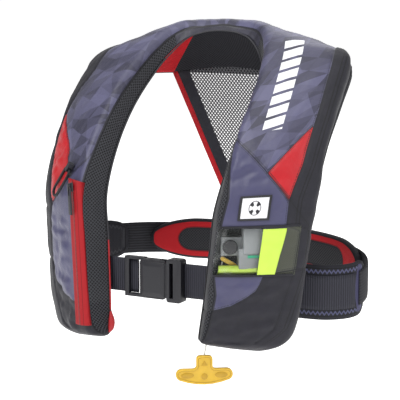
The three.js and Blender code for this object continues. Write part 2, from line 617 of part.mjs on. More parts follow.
// ---- Keep-out solids: the collar with its panel and zip, and the belt's back pad with its webbing ----
const collarKeepOut = solidOf(bandLoft(gridSteps(seamStarboard, seamPort, 0.5), (f) =>
  section(f, -panel.overhang - closureZip.thick - closureZip.clear - gap,
    -f.thick / 2 - panel.thick - 2 * gap)));
const beltKeepOut = solidOf(beltStrip(beltSteps(9.25, 15), webOut - 2 * gap - backPad.thick,
  webOut + web.thick + gap,
  (t) => Math.max(roundEnd(t, 9.25, 15, backPad.width / 2, 1), web.width / 2) + gap));
const clearOf = (geometry, matrix) => geometryOf(solidOf(geometry.applyMatrix4(matrix))
  .subtract(collarKeepOut).subtract(beltKeepOut));

// ---- Back yoke: a flat leaning triangle of mesh with bound edges, from the collar to the back pad ----
const yokeGroup = new THREE.Group();
const yokeRun = yoke.topLevel - yoke.bottomLevel;
const yokeLean = Math.atan2(yoke.bottomDepth - yoke.topDepth, yokeRun);
yokeGroup.position.set(0, yoke.topDepth, yoke.topLevel);
yokeGroup.rotation.x = Math.PI / 2 + yokeLean;
yokeGroup.updateMatrix();
const yokeFoot = -yokeRun / Math.cos(yokeLean);
const yokeSlope = (yoke.topHalf - yoke.bottomHalf) / -yokeFoot;
const edgeAt = (y, inset) => yoke.topHalf + yokeSlope * y - inset * Math.hypot(1, yokeSlope);
const band = (a, b, sign, top, foot) => {
  const points = [[edgeAt(top, a), top], [edgeAt(foot, a), foot], [edgeAt(foot, b), foot], [edgeAt(top, b),
    top]];
  return new THREE.Shape(points.map(([x, y]) => new THREE.Vector2(sign * Math.max(x, 0.4), y)));
};
const meshInset = yoke.trim + yoke.binding + 2 * gap;
const meshFoot = -(yoke.topHalf - meshInset * Math.hypot(1, yokeSlope) - 1) / yokeSlope;
for (const [side, sign] of [["port", 1], ["starboard", -1]]) {
  put(`yoke_trim_${side}`, clearOf(plate(band(0, yoke.trim, sign, 0, yokeFoot), yoke.thick),
    yokeGroup.matrix), redCloth);
  const bottomX = (y) => Math.max(edgeAt(y, yoke.trim + gap + yoke.binding), 0.2);
  const binding = new THREE.Shape([
    [edgeAt(0, yoke.trim + gap), 0], [edgeAt(yokeFoot, yoke.trim + gap), yokeFoot], [0.2, yokeFoot],
    [0.2, meshFoot], [bottomX(meshFoot), meshFoot], [bottomX(0), 0],
  ].map(([x, y]) => new THREE.Vector2(sign * x, y)));
  put(`yoke_binding_${side}`, clearOf(plate(binding, yoke.thick), yokeGroup.matrix), blackCloth);
}
const meshHalf = (y) => edgeAt(y, meshInset);
const meshShape = new THREE.Shape([[-meshHalf(0), 0], [-meshHalf(meshFoot + 1), meshFoot + 1],
  [meshHalf(meshFoot + 1), meshFoot + 1],
  [meshHalf(0), 0]].map(([x, y]) => new THREE.Vector2(x, y)));
put("yoke_mesh", clearOf(plate(meshShape, yoke.thick), yokeGroup.matrix), blackMesh);

// ---- Side-release buckle ----
const strapLevel = -webOut - web.thick / 2; // the webbing's middle, in the buckle's depth
const buckleGroup = new THREE.Group();
buckleGroup.position.set(buckle.x, buckle.y, buckle.z - seatLevel);
life.add(buckleGroup);
// depth of the socket's middle, in front of the webbing
const bodyMid = strapLevel - web.thick / 2 - 1 - buckle.depth / 2 + 3.2;
const halfDepth = buckle.depth / 2;
const mouth = buckle.socket / 2;
const socketEnd = -mouth - buckle.frame;
const deep = (d) => bodyMid + d;
const socketBlock = solidOf(plate(roundedShape(buckle.socket, buckle.height, 6),
  buckle.depth).rotateX(Math.PI / 2)
  .translate(0, deep(halfDepth), 0));
const socketSpace = solidOf(box(-mouth + 4, mouth + 1, deep(-halfDepth + buckle.wall),
  deep(halfDepth - buckle.wall),
  -buckle.height / 2 + buckle.wall, buckle.height / 2 - buckle.wall));
const sideNotch = solidOf(box(-mouth + 15, mouth + 1, deep(-halfDepth + buckle.wall),
  deep(halfDepth - buckle.wall), -40, 40));
const rails = [-1, 1].map((side) => solidOf(box(socketEnd, -mouth + 5, deep(-2), deep(halfDepth),
  side > 0 ? buckle.height / 2 - buckle.rail + 1 : -buckle.height / 2 - 1,
    side > 0 ? buckle.height / 2 + 1 : -buckle.height / 2 + buckle.rail - 1)));
const bar = solidOf(box(socketEnd, socketEnd + buckle.bar, deep(-2), strapLevel - web.thick / 2 - gap,
  -buckle.height / 2, buckle.height / 2));
put("buckle_socket", geometryOf(socketBlock.subtract(socketSpace).subtract(sideNotch).add(rails[0])
  .add(rails[1]).add(bar)),
  blackPlastic, buckleGroup);

const plugBase = mouth + buckle.clear;
const plugEnd = plugBase + buckle.plug;
const plugBlock = solidOf(plate(roundedShape(buckle.plug, buckle.plugHeight, 4), 1).scale(1, 1,
  strapLevel + 4 - deep(-halfDepth))
  .rotateX(Math.PI / 2).translate((plugBase + plugEnd) / 2, strapLevel + 4, 0));
const strapTunnel = solidOf(box(plugBase - 1, plugEnd + 1, strapLevel - web.thick / 2 - buckle.strapRoom,
  strapLevel + web.thick / 2 + buckle.strapRoom,
  -web.width / 2 - buckle.strapRoom - 0.3, web.width / 2 + buckle.strapRoom + 0.3));
const frontSlot = solidOf(box(plugBase + 5, plugBase + 11, deep(-halfDepth) - 1, strapLevel,
  -web.width / 2 - 0.6, web.width / 2 + 0.6));
const tongue = solidOf(box(plugBase - buckle.reach, plugBase + 2, deep(-2.2), deep(1.6),
  -buckle.tongue / 2, buckle.tongue / 2));
put("buckle_plug", geometryOf(plugBlock.subtract(strapTunnel).subtract(frontSlot).add(tongue)),
  blackPlastic, buckleGroup);
for (const [name, sign] of [["buckle_prong_upper", 1], ["buckle_prong_lower", -1]]) {
  const root = plugBase - 0.7;
  const padStart = -mouth + 16.5;
  const shape = new THREE.Shape([
    [root, buckle.armZ], [root, buckle.armZ + buckle.armWall], [padStart + buckle.padLength,
      buckle.armZ + buckle.armWall],
    [padStart + buckle.padLength - 2, buckle.height / 2 + 0.6], [padStart + 3, buckle.height / 2 + 0.6],
      [padStart, buckle.height / 2 - 2.5],
    [padStart - 1, buckle.armZ + buckle.armWall + 1], [plugBase - buckle.reach,
      buckle.armZ + buckle.armWall],
    [plugBase - buckle.reach, buckle.armZ],
  ].map(([x, z]) => new THREE.Vector2(x, sign * z)));
  put(name, plate(shape, 7).rotateX(Math.PI / 2).translate(0, deep(3.5), 0), blackPlastic, buckleGroup);
}

// ---- Keepers that hold the straps to the back of each lobe ----
for (const [name, t] of [["strap_keeper_starboard", 3.6], ["strap_keeper_port", beltLast - 3.6]]) {
  const h = webOut - wingPort.thick - 2 * gap - 1.2;
  put(name, beltStrip([t - 0.28, t, t + 0.28], h, h + 1.2, () => web.width / 2 + 6), webbing);
}

export default life;
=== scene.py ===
import json
import math
from contextlib import contextmanager

import bpy
from mathutils import Matrix, Vector, noise

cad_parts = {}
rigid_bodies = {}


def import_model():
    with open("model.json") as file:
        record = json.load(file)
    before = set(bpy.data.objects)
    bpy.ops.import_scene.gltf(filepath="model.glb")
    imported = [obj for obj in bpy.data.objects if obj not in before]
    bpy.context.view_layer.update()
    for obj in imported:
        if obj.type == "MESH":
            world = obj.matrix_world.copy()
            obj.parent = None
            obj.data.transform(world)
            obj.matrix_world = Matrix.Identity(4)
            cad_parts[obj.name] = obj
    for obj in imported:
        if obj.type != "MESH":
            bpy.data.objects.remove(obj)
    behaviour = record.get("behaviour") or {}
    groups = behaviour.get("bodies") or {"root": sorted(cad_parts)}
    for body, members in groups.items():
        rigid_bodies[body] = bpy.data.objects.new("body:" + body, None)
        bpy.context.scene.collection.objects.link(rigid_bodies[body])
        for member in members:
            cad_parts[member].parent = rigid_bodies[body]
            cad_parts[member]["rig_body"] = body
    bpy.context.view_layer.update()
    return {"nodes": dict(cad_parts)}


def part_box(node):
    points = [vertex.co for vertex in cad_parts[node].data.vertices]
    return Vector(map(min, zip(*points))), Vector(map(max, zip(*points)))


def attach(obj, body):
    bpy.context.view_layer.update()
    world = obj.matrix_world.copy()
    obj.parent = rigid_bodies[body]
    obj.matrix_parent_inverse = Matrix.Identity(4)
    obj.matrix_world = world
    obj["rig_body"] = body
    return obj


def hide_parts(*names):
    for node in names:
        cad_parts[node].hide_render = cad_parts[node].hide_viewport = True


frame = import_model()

bpy.ops.object.select_all(action="DESELECT")
MM = 0.001


# ---- Camera ----


def away(azimuth, elevation):
    """The direction from the jacket to a place round it."""
    a, e = math.radians(azimuth), math.radians(elevation)
    return Vector((math.sin(a) * math.cos(e), -math.cos(a) * math.cos(e), math.sin(e)))


def looking(item, way):
    """Turns a camera or a lamp to look against a direction."""
    item.rotation_mode = "QUATERNION"
    item.rotation_quaternion = (-way).to_track_quat("-Z", "Y")
    return item


back = away(28, 9)
bpy.ops.object.camera_add(location=Vector((0, 0, -0.2)) + back * 2.4)
camera = looking(bpy.context.object, back)
camera.data.sensor_width, camera.data.lens = 36, 144
bpy.context.scene.camera = camera


# ---- The band: a padded strip from the starboard foot, round the nape, to the port foot ----
# Stations of one side, foot to nape, in mm: inner edge, outer edge, thickness, lift of the port outer edge.
# The starboard foot hangs a little lower.

SEAT = 200
SIDE = [
    ((83, -157, -179), (158, -108, -193), 26, 0),
    ((85, -156, -165), (187, -87, -171), 35, 0),
    ((90, -152, -120), (200, -78, -120), 40, 0),
    ((97, -146, -45), (208, -69, -45), 42, 0),
    ((103, -140, 20), (214, -60, 22), 42, 2),
    ((105, -103, 88), (216, -28, 92), 40, 5),
    ((104, -48, 150), (216, 17, 152), 38, 9),
    ((96, 12, 202), (210, 60, 192), 36, 14),
    ((82, 45, 232), (186, 92, 197), 34, 9),
    ((62, 68, 250), (138, 117, 195), 32, 2),
    ((34, 82, 257), (72, 127, 194), 32, 0),
]
NAPE = ((0, 86, 259), (0, 130, 194), 32, 0)
FOOT_DROP = [8, 4] + [0] * 9
CORNER, CROWN = 13, 5


def hand_side(station, sign, drop=0):
    (ix, iy, iz), (ox, oy, oz), thick, lift = station
    rise = lift if sign > 0 else 0
    inner = Vector((sign * ix, iy, iz - SEAT - drop))
    return inner, Vector((sign * (ox + rise / 3), oy, oz + rise - SEAT - drop)), float(thick)


BAND = [hand_side(s, -1, drop) for s, drop in zip(SIDE, FOOT_DROP)]
BAND += [hand_side(NAPE, 1)] + [hand_side(s, 1) for s in reversed(SIDE)]
LAST = len(BAND) - 1


def through(points, k):
    """Uniform Catmull-Rom through the points, at station k."""
    k = min(max(k, 0), len(points) - 1)
    i = min(int(k), len(points) - 2)
    w = k - i
    b, c = points[i], points[i + 1]
    a = points[i - 1] if i else 2 * b - c
    d = points[i + 2] if i + 2 < len(points) else 2 * c - b
    return 0.5 * (2 * b + (c - a) * w + (2 * a - 5 * b + 4 * c - d) * w * w + (3 * b - a - 3 * c + d) * w**3)


INNER, OUTER, THICK = ([s[i] for s in BAND] for i in range(3))


class Section:
    """The band's frame at station k: across runs from the inner to the outer edge, out off the wearer."""

    def __init__(self, k):
        middle = lambda q: (through(INNER, q) + through(OUTER, q)) / 2
        inner, outer = through(INNER, k), through(OUTER, k)
        along = (middle(k + 0.05) - middle(k - 0.05)).normalized()
        self.centre, self.across = middle(k), (outer - inner).normalized()
        self.out = along.cross(self.across).normalized()
        self.half, self.thick = (outer - inner).length / 2, through(THICK, k)

    def at(self, s, h):
        return self.centre + self.across * s + self.out * h

    def over(self, q):
        """Place and outward direction of the front cover q mm over the cloth from its middle line."""
        flat, top = self.half - CORNER, self.thick / 2
        turn = (abs(q) - flat) / CORNER
        sign = 1 if q >= 0 else -1
        if turn <= 0:
            s, h, n = q, top + CROWN * (1 - (q / flat) ** 2), (0, 1)
        elif turn <= math.pi / 2:
            s, h = sign * (flat + CORNER * math.sin(turn)), top - CORNER + CORNER * math.cos(turn)
            n = (sign * math.sin(turn), math.cos(turn))
        else:
            s, h, n = sign * self.half, top - CORNER - CORNER * (turn - math.pi / 2), (sign, 0)
        return s, h, self.across * n[0] + self.out * n[1]

    def reach(self):
        return self.half - CORNER + CORNER * math.pi / 2 + self.thick - CORNER


FINE = [Section(i / 20) for i in range(LAST * 20 + 1)]
RUN = [0.0]
for before, after in zip(FINE, FINE[1:]):
    RUN.append(RUN[-1] + (after.centre - before.centre).length)
TOTAL = RUN[-1]


def station_at(run):
    """The station a given length of band from the starboard foot."""
    low, high = 0, len(RUN) - 1
    while high - low > 1:
        mid = (low + high) // 2
        low, high = (mid, high) if RUN[mid] <= run else (low, mid)
    return (low + (run - RUN[low]) / (RUN[high] - RUN[low])) / 20


def section_at(run):
    return Section(station_at(run))


def sections(runs):
    return [(run, section_at(run)) for run in runs]


def level(table, x):
    """Straight lines through a table of (x, y)."""
    if x <= table[0][0]:
        return table[0][1]
    for (x0, y0), (x1, y1) in zip(table, table[1:]):
        if x <= x1:
            return y0 + (y1 - y0) * (x - x0) / (x1 - x0)
    return table[-1][1]


def spaced(low, high, size, *stops):
    """Values from low to high about size apart that hit every stop."""
    marks = sorted({low, high, *(s for s in stops if low < s < high)})
    values = [low]
    for a, b in zip(marks, marks[1:]):
        n = max(1, round((b - a) / size))
        values += [a + (b - a) * (i + 1) / n for i in range(n)]
    return values


# ---- Making cloth meshes ----


def new_object(name, points, faces, finish, uvs, marks):
    mesh = bpy.data.meshes.new(name)
    mesh.from_pydata([Vector(p) * MM for p in points], [], faces)
    if uvs:
        layer = mesh.uv_layers.new(name="Cloth")
        for loop in mesh.loops:
            layer.data[loop.index].uv = [c * MM for c in uvs[loop.vertex_index]]
    for mark, values in (marks or {}).items():
        mesh.attributes.new(mark, "FLOAT", "POINT").data.foreach_set("value", values)
    mesh.materials.append(finish)
    mesh.shade_smooth()
    obj = bpy.data.objects.new(name, mesh)
    bpy.context.collection.objects.link(obj)
    return obj


def loft(name, rings, finish, uvs=None, marks=None, closed=True):
    """A skin through rings of points of one count. Closed rings make a tube, open ones a sheet."""
    count, faces = len(rings[0]), []
    for i in range(len(rings) - 1):
        for j in range(count if closed else count - 1):
            a, b = i * count + j, i * count + (j + 1) % count
            faces.append((a, b, b + count, a + count))
    if closed:
        faces.append(tuple(reversed(range(count))))
        faces.append(tuple(range((len(rings) - 1) * count, len(rings) * count)))
    flat = [p for ring in rings for p in ring]
    return new_object(name, flat, faces, finish, [u for ring in uvs for u in ring] if uvs else None, marks)


def only(piece):
    """Selects one piece and makes it the active one."""
    bpy.ops.object.select_all(action="DESELECT")
    piece.select_set(True)
    bpy.context.view_layer.objects.active = piece


@contextmanager
def editing(piece, action="SELECT"):
    """Edit mode on one piece, with all or none of it selected."""
    only(piece)
    bpy.ops.object.mode_set(mode="EDIT")
    bpy.ops.mesh.select_all(action=action)
    yield
    bpy.ops.object.mode_set(mode="OBJECT")


def outward(piece):
    """Turns a closed piece's faces outwards."""
    with editing(piece):
        bpy.ops.mesh.remove_doubles(threshold=1e-6)
        bpy.ops.mesh.normals_make_consistent(inside=False)
    return piece


def facing(piece, way):
    """Turns an open sheet's faces to a way, judged by its middle face."""
    if piece.data.polygons[len(piece.data.polygons) // 2].normal.dot(way) < 0:
        piece.data.flip_normals()
    return piece


def applied(piece, kind, **settings):
    """Adds a modifier and applies it."""
    only(piece)
    modifier = piece.modifiers.new(kind.title(), kind)
    for key, value in settings.items():
        setattr(modifier, key, value)
    bpy.ops.object.modifier_apply(modifier=modifier.name)
    return piece


def thickened(piece, thick, offset=-1):
    return applied(piece, "SOLIDIFY", thickness=thick * MM, offset=offset, use_even_offset=False)


def rounded(piece, width, segments=2, angle=40):
    """Bevels the edges sharper than an angle."""
    limit = {"limit_method": "ANGLE", "angle_limit": math.radians(angle)}
    return applied(piece, "BEVEL", width=width * MM, segments=segments, **limit)


def shaded(piece, angle):
    only(piece)
    bpy.ops.object.shade_smooth_by_angle(angle=math.radians(angle))


def joined(pieces, name):
    only(pieces[0])
    for piece in pieces:
        piece.select_set(True)
    bpy.ops.object.join()
    pieces[0].name = name
    return pieces[0]


def picking(piece, kind, parts, wanted):
    """Enters edit mode with only the wanted edges or faces selected."""
    with editing(piece, "DESELECT"):
        bpy.ops.mesh.select_mode(type=kind)
    for part in parts:
        part.select = wanted(part)
    bpy.ops.object.mode_set(mode="EDIT")


def face_towards(piece, way, level):
    """Merges the faces that look a way into one, and leaves it selected in edit mode."""
    picking(piece, "FACE", piece.data.polygons, lambda face: face.normal.dot(way) > level)
    bpy.ops.mesh.dissolve_faces()


def settle(piece, slot, *nodes, body="jacket"):
    """Puts a piece on its body, in place of CAD nodes. The slot is not used."""
    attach(piece, body)
    if nodes:
        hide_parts(*nodes)
    return piece


# ---- Shader arithmetic ----


def maths(operation, turned=False):
    """A method that adds one Math node. Turned, it takes its values the other way round."""

    def method(self, *others):
        values = (self, *others)
        return self.finish.node("Math", {"operation": operation}, *(values[::-1] if turned else values))

    return method


class Flow:
    """A number or colour on its way through a finish's nodes."""

    def __init__(self, finish, socket):
        self.finish, self.socket = finish, socket

    __add__ = __radd__ = maths("ADD")
    __mul__ = __rmul__ = maths("MULTIPLY")
    __sub__, __rsub__ = maths("SUBTRACT"), maths("SUBTRACT", turned=True)
    __truediv__, __gt__, __lt__ = maths("DIVIDE"), maths("GREATER_THAN"), maths("LESS_THAN")
    sin, root, abs, max = maths("SINE"), maths("SQRT"), maths("ABSOLUTE"), maths("MAXIMUM")
    fract, floor = maths("FRACT"), maths("FLOOR")

    def soft(self, edge0, edge1):
        """0 below edge0, 1 above edge1, a straight ramp between."""
        return self.finish.node("MapRange", {"clamp": True}, self, edge0, edge1, 0.0, 1.0)

    def wave(self, length):
        """A wave from 0 to 1, of a length in the flow's own unit."""
        return (self * (math.tau / length)).sin() * 0.5 + 0.5


class Finish:
    """A material made of nodes round one Principled shader."""

    def __init__(self, name, **constants):
        self.material = bpy.data.materials.new(name)
        self.material.use_nodes = True
        self.tree = self.material.node_tree
        self.shader = self.tree.nodes["Principled BSDF"]
        for key, value in constants.items():
            self.shader.inputs[key.replace("_", " ")].default_value = value

    def plug(self, socket, value):
        """Links a flow to a socket, or sets the socket to a number or a colour."""
        if isinstance(value, Flow):
            self.tree.links.new(value.socket, socket)
        elif value is not None:
            socket.default_value = (*value, 1) if socket.type == "RGBA" else value

    def node(self, kind, settings, *values, output=0, **named):
        made = self.tree.nodes.new("ShaderNode" + kind)
        for key, value in (settings or {}).items():
            setattr(made, key, value)
        for i, value in enumerate(values):
            self.plug(made.inputs[i], value)
        for key, value in named.items():
            self.plug(made.inputs[key], value)
        return Flow(self, made.outputs[output])

    def feed(self, **links):
        for key, value in links.items():
            self.plug(self.shader.inputs[key.replace("_", " ")], value)
        return self.material

    def cloth(self):
        """The piece's own cloth coordinates in mm, along u and v."""
        u, v, _ = self.parts(self.node("UVMap", {"uv_map": "Cloth"}))
        return u * 1000, v * 1000

    def place(self):
        """Object coordinates, in metres."""
        return self.node("TexCoord", None, output="Object")

    def parts(self, vector):
        split = self.node("SeparateXYZ", None, vector).socket.node
        return [Flow(self, output) for output in split.outputs]

    def mark(self, name):
        return self.node("Attribute", {"attribute_name": name}, output=2)

    def mix(self, amount, a, b):
        settings = {"data_type": "RGBA", "clamp_factor": True}
        return self.node("Mix", settings, amount, *[None] * 5, a, b, output=2)

    def noise(self, vector, scale, detail=3.0):
        return self.node("TexNoise", None, Vector=vector, Scale=scale, Detail=detail, Roughness=0.5)

    def look(self, colour, height, strength, distance, **links):
        """The finished material: a colour over a relief, whose height is in mm times distance."""
        bump = self.node("Bump", None, Height=height, Strength=strength, Distance=distance * MM)
        return self.feed(Base_Color=colour, Normal=bump, **links)


def on_cloth(name, **constants):
    """A new finish, with the cloth coordinates of its piece."""
    f = Finish(name, **constants)
    return f, *f.cloth()


def tint(colour, gain):
    return tuple(min(1.0, c * gain) for c in colour)


NAVY, PRINT_DARK, PRINT_LIGHT = (0.046, 0.045, 0.094), (0.031, 0.030, 0.056), (0.098, 0.096, 0.172)
BLACK, CHARCOAL = (0.006, 0.006, 0.010), (0.014, 0.013, 0.022)
RED, LIME = (0.37, 0.006, 0.011), (0.50, 0.70, 0.09)


def weave(f, u, v, pitch=0.9):
    """Plain weave: threads going over and under each other, 0 to 1."""
    a, b = (u * (math.tau / pitch)).sin(), (v * (math.tau / pitch)).sin()
    return (a * b) * 0.5 + 0.5


def air_mesh(f, u, v, pitch):
    """Diamond cells of a knitted mesh: 1 at the middle of each hole and 0 on the yarns."""
    a = ((u + v) * (1 / pitch)).fract() - 0.5
    b = ((u - v) * (1 / pitch)).fract() - 0.5
    return 1 - (a.abs().max(b.abs())) * 2


# ---- Finishes ----


def cover_finish():
    f, u, v = on_cloth("cover_cloth", Sheen_Weight=0.08, Sheen_Roughness=0.4, Specular_IOR_Level=0.42)
    uv, place = f.node("UVMap", {"uv_map": "Cloth"}), f.place()
    facets = []
    for size, lean, seed in ((29, 0.35, 3.0), (46, -0.5, 11.0)):
        warp = f.noise(uv, 14.0, 0.0)
        a = (u + v * lean) / size + warp * 0.6 + seed
        b = (v - u * lean * 0.4) / (size * 0.9) + warp * 0.4
        half = (a.fract() + b.fract()) > 1.0
        cell = f.node("CombineXYZ", None, a.floor(), b.floor(), half)
        facets.append(f.node("TexWhiteNoise", {"noise_dimensions": "3D"}, Vector=cell))
    shade = facets[0] * 0.55 + facets[1] * 0.45
    threads = weave(f, u, v)
    holes = air_mesh(f, u, v, 5.4)
    on_print, on_red, on_low = (f.mark(m) > 0 for m in ("print", "red", "low"))
    on_flap, on_side, on_strap = (f.mark(m) > 0 for m in ("flap", "side", "olive"))
    # the reflective stripe: slanted bars down the port lobe
    off, along = u + 18, v - (TOTAL - 400)
    bars = ((along / 20 + off * 0.012).fract() < 0.74) * (off.abs() < 14) * (along.abs() < 80)
    # the mesh inner wall gives way to dark print round the nape
    nape = on_side * ((v - TOTAL / 2).abs() < 125)
    on_side = on_side - nape
    black = f.mix(f.noise(place, 60.0), BLACK, CHARCOAL)
    colour = f.mix(f.noise(place, 30.0), NAVY, tint(NAVY, 1.5))
    for region, look in (
        (on_print, f.mix(shade.soft(0.2, 0.85), PRINT_DARK, PRINT_LIGHT)),
        (on_red, f.mix(f.noise(place, 40.0), RED, tint(RED, 1.35))),
        (on_low.max(on_flap), black),
        (on_strap, f.mix(air_mesh(f, u, v, 2.2).soft(0.3, 0.6), (0.06, 0.065, 0.045), (0.015, 0.016, 0.012))),
        (nape, f.mix(shade, (0.012, 0.011, 0.020), (0.030, 0.029, 0.048))),
        (on_side, f.mix(holes.soft(0.25, 0.45), (0.036, 0.037, 0.044), (0.001, 0.001, 0.002))),
        ((f.mark("side").abs() < 2.2) * 0.9, (0.007, 0.007, 0.010)),
        (bars, f.mix(threads, (0.70, 0.70, 0.73), (0.88, 0.88, 0.90))),
    ):
        colour = f.mix(region, colour, look)
    # a row of stitches beside each seam
    dashes = ((u + v) / 3.2).fract() < 0.72
    seam = None
    for name, gap in (("print", 2.2), ("flap", 2.4), ("low", 2.2), ("red", 2.2)):
        off = f.mark(name).abs()
        row = ((off - gap).abs() < 0.45) * dashes * (1 - on_side)
        colour = f.mix(row * 0.75, colour, (0.006, 0.006, 0.010))
        seam = seam.max(off < 0.8) if seam else off < 0.8
    colour = f.mix(seam * (1 - on_side) * 0.8, colour, (0.005, 0.005, 0.008))
    # a double row of ribs along the flap, sunk as grooves; their darker colour is painted shade in the
    # grooves
    rib_grooves_and_shade = on_flap * (((f.mark("flap") - 15.5).abs() - 2.4).abs() < 0.9)
    colour = f.mix(rib_grooves_and_shade * 0.8, colour, (0.0025, 0.0025, 0.004))
    crumple = threads * 0.25 + f.noise(place, 60.0, 2.0) * 7
    height = crumple * (1 - on_side) + (1 - holes.soft(0.25, 0.6)) * on_side * 1.6
    height = height - rib_grooves_and_shade * 1.6 + f.noise(place, 220.0) * 0.5
    rough = 0.37 + on_flap.max(on_low) * 0.24 + on_side * 0.4 + f.noise(place, 25.0) * 0.12
    return f.look(colour, height, 0.5, 0.35, Roughness=rough)


def plain_cloth(name, colour, rough=0.75, spread=1.5):
    f, u, v = on_cloth(name, Sheen_Weight=0.05, Specular_IOR_Level=0.25)
    place = f.place()
    shade = f.mix(f.noise(place, 45.0), colour, tint(colour, spread))
    roughness = f.noise(place, 60.0) * 0.15 + (rough - 0.07)
    return f.look(shade, weave(f, u, v) + f.noise(place, 260.0), 0.4, 0.25, Roughness=roughness)


def webbing_finish(name, colour):
    """Belt webbing: u runs along the strap and the ribs across it."""
    f, u, v = on_cloth(name, Specular_IOR_Level=0.25)
    rib, twill = u.wave(3.4), (v + u * 0.5).wave(1.3)
    shade = f.mix(rib * 0.8 + twill * 0.2, tint(colour, 0.45), tint(colour, 1.7))
    return f.look(shade, rib + twill * 0.25, 0.7, 0.5, Roughness=rib * 0.15 + 0.6)


def plastic(name, colour, rough, grain=0.15):
    f = Finish(name, Coat_Roughness=0.15)
    place = f.place()
    shade = f.mix(f.noise(place, 90.0), tint(colour, 0.85), tint(colour, 1.15))
    scuff = f.noise(place, 400.0, 2.0)
    roughness = scuff * grain + (rough - grain / 2)
    return f.look(shade, scuff, 0.15, 0.2, Roughness=roughness)


cover_cloth = cover_finish()
black_cloth = plain_cloth("black_cloth", (0.018, 0.018, 0.024))
red_cloth = plain_cloth("red_cloth", RED, 0.65)
lime_cloth = plain_cloth("lime_cloth", LIME, 0.4, spread=1.15)
belt_web = webbing_finish("belt_web", (0.024, 0.024, 0.033))


# ---- Pull cord and handle ----

BAY = Section(18.95)
side_way = Vector((BAY.across.x, BAY.across.y, 0)).normalized()
front_way = Vector((BAY.out.x, BAY.out.y, 0)).normalized()
LEVER_PIVOT, LEVER_REACH, LEVER_DROP = (-36.7, -24), 20, math.radians(30)
lever_end_s = LEVER_PIVOT[0] - LEVER_REACH * math.cos(LEVER_DROP)
lever_end_h = LEVER_PIVOT[1] + LEVER_REACH * math.sin(LEVER_DROP) - 3 - 1.5
bay_up = BAY.out.cross(BAY.across)
cord_start = BAY.centre + BAY.across * lever_end_s + bay_up * lever_end_h
foot = Section(LAST)
cord_foot = foot.at(-foot.half + 9, 0)
cord_way = (cord_foot - cord_start).normalized()
cord_end = cord_foot + cord_way * 13


def round_tube(name, path, radius, finish):
    """A tube along a path of points in mm."""
    rings, uvs, run = [], [], 0.0
    turns = [math.tau * j / 12 for j in range(12)]
    for i, p in enumerate(path):
        ahead = (path[min(i + 1, len(path) - 1)] - path[max(i - 1, 0)]).normalized()
        a = ahead.cross(Vector((1, 0, 0))).normalized()
        b = ahead.cross(a)
        run += (p - path[i - 1]).length if i else 0
        rings.append([p + (a * math.cos(t) + b * math.sin(t)) * radius for t in turns])
        uvs.append([(run, radius * t) for t in turns])
    return outward(loft(name, rings, finish, uvs))


def cord_finish():
    f, u, v = on_cloth("cord_braid", Roughness=0.7)
    strands = ((u * 1.2 + v * 1.6).sin() * (u * 1.2 - v * 1.6).sin()).abs()
    shade = f.mix(strands, (0.45, 0.44, 0.40), (0.85, 0.84, 0.78))
    return f.look(shade, strands, 0.5, 0.3)


cord_path = [cord_start.lerp(cord_end, i / 20) for i in range(21)]
pull_cord = round_tube("pull_line", cord_path, 1.0, cord_finish())
settle(pull_cord, "white_woven", "pull_cord", body="pull_handle")


# ---- The front cover: one padded strip of panels with sewn seams ----

FOOT_ROUND, PLAN_ROUND, COVER_CLOTH = 20, 16, 1.4
BACK_GAP, BACK_THICK, BACK_DEPTH = 0.3, 3.0, 3.3
WINDOW_Q, WINDOW_RUN = (-68, -3), (121, 189)


def slant(q, run, at_q, at_run, slope):
    """Distance in mm over a slanting line on the cloth, that passes through a point."""
    return (run - at_run - slope * (q - at_q)) / math.hypot(1, slope)


PORT_FLAP = [(15, -70), (18, -40), (22, 14), (43, 34), (79, 40), (125, 48), (182, 49), (190, 28), (220, 28)]
PORT_FLAP += [(266, 38), (340, 42)]
PORT_LOW = [(-95, 64), (-57, 70), (-34, 76), (-17, 86), (-3, 97), (2, 108), (4, 121), (60, 128)]
SIDE_TOP = [(480, -72), (560, -60), (634, -52)]
PORT_SIDE = [(0, -60), (92, -58), (118, -64), (192, -64), (227, -59), (300, -72), *SIDE_TOP]
STARBOARD_FLAP = [(12, -70), (16, 0), (24, 14), (64, 24), (113, 38), (140, 38), (202, 30), (233, 38)]
STARBOARD_FLAP += [(276, 53), (324, 53), (364, 39), (423, 24), (520, 30), (634, 42)]
STARBOARD_POCKET = [(-71, 292), (-62, 268), (-31, 241), (-10, 222), (17, 208), (40, 192)]
STARBOARD_RED = [(241, -31), (284, 0), (328, 47)]
STARBOARD_LOW = [(-95, 66), (-30, 64), (-7, 70), (20, 86), (41, 113)]
STARBOARD_SIDE = [(0, -64), (64, -66), (137, -68), (237, -67), (292, -71), (400, -72), *SIDE_TOP]


def common_panels(q, run, flap, low, steep, side):
    """The flap, the low panel and the inner side of a lobe, from their seams."""
    return q - level(flap, run), (level(low, q) - run) * steep, level(side, run) - q


def port_panels(q, run):
    flap, low, side = common_panels(q, run, PORT_FLAP, PORT_LOW, 0.8, PORT_SIDE)
    printed = slant(q, run, -10, 258, -0.97)
    red = min(-slant(q, run, -10, 258, 1.3), slant(q, run, -10, 258, -1.02), -flap)
    olive = min(q - level([(117, 19), (184, 28)], run), 50 - q, run - 119, 190 - run)
    return {"flap": flap, "print": printed, "red": red, "low": low, "side": side, "olive": olive}


def starboard_panels(q, run):
    flap, low, side = common_panels(q, run, STARBOARD_FLAP, STARBOARD_LOW, 0.9, STARBOARD_SIDE)
    pocket = (run - level(STARBOARD_POCKET, q)) / 1.35
    red = min(q - level(STARBOARD_RED, run), pocket, -flap)
    return {"flap": flap, "print": min(pocket, -red), "red": red, "low": low, "side": side, "olive": -50}


def panels(q, run):
    """Distance inside each panel at a place on the cloth. Run is from the starboard foot."""
    port, starboard = port_panels(q, TOTAL - run), starboard_panels(q, run)
    away = (run - TOTAL / 2) / 12
    if away > 1:
        return port
    if away < -1:
        return starboard
    w = (away + 1) / 2
    return {name: starboard[name] * (1 - w) + port[name] * w for name in port}


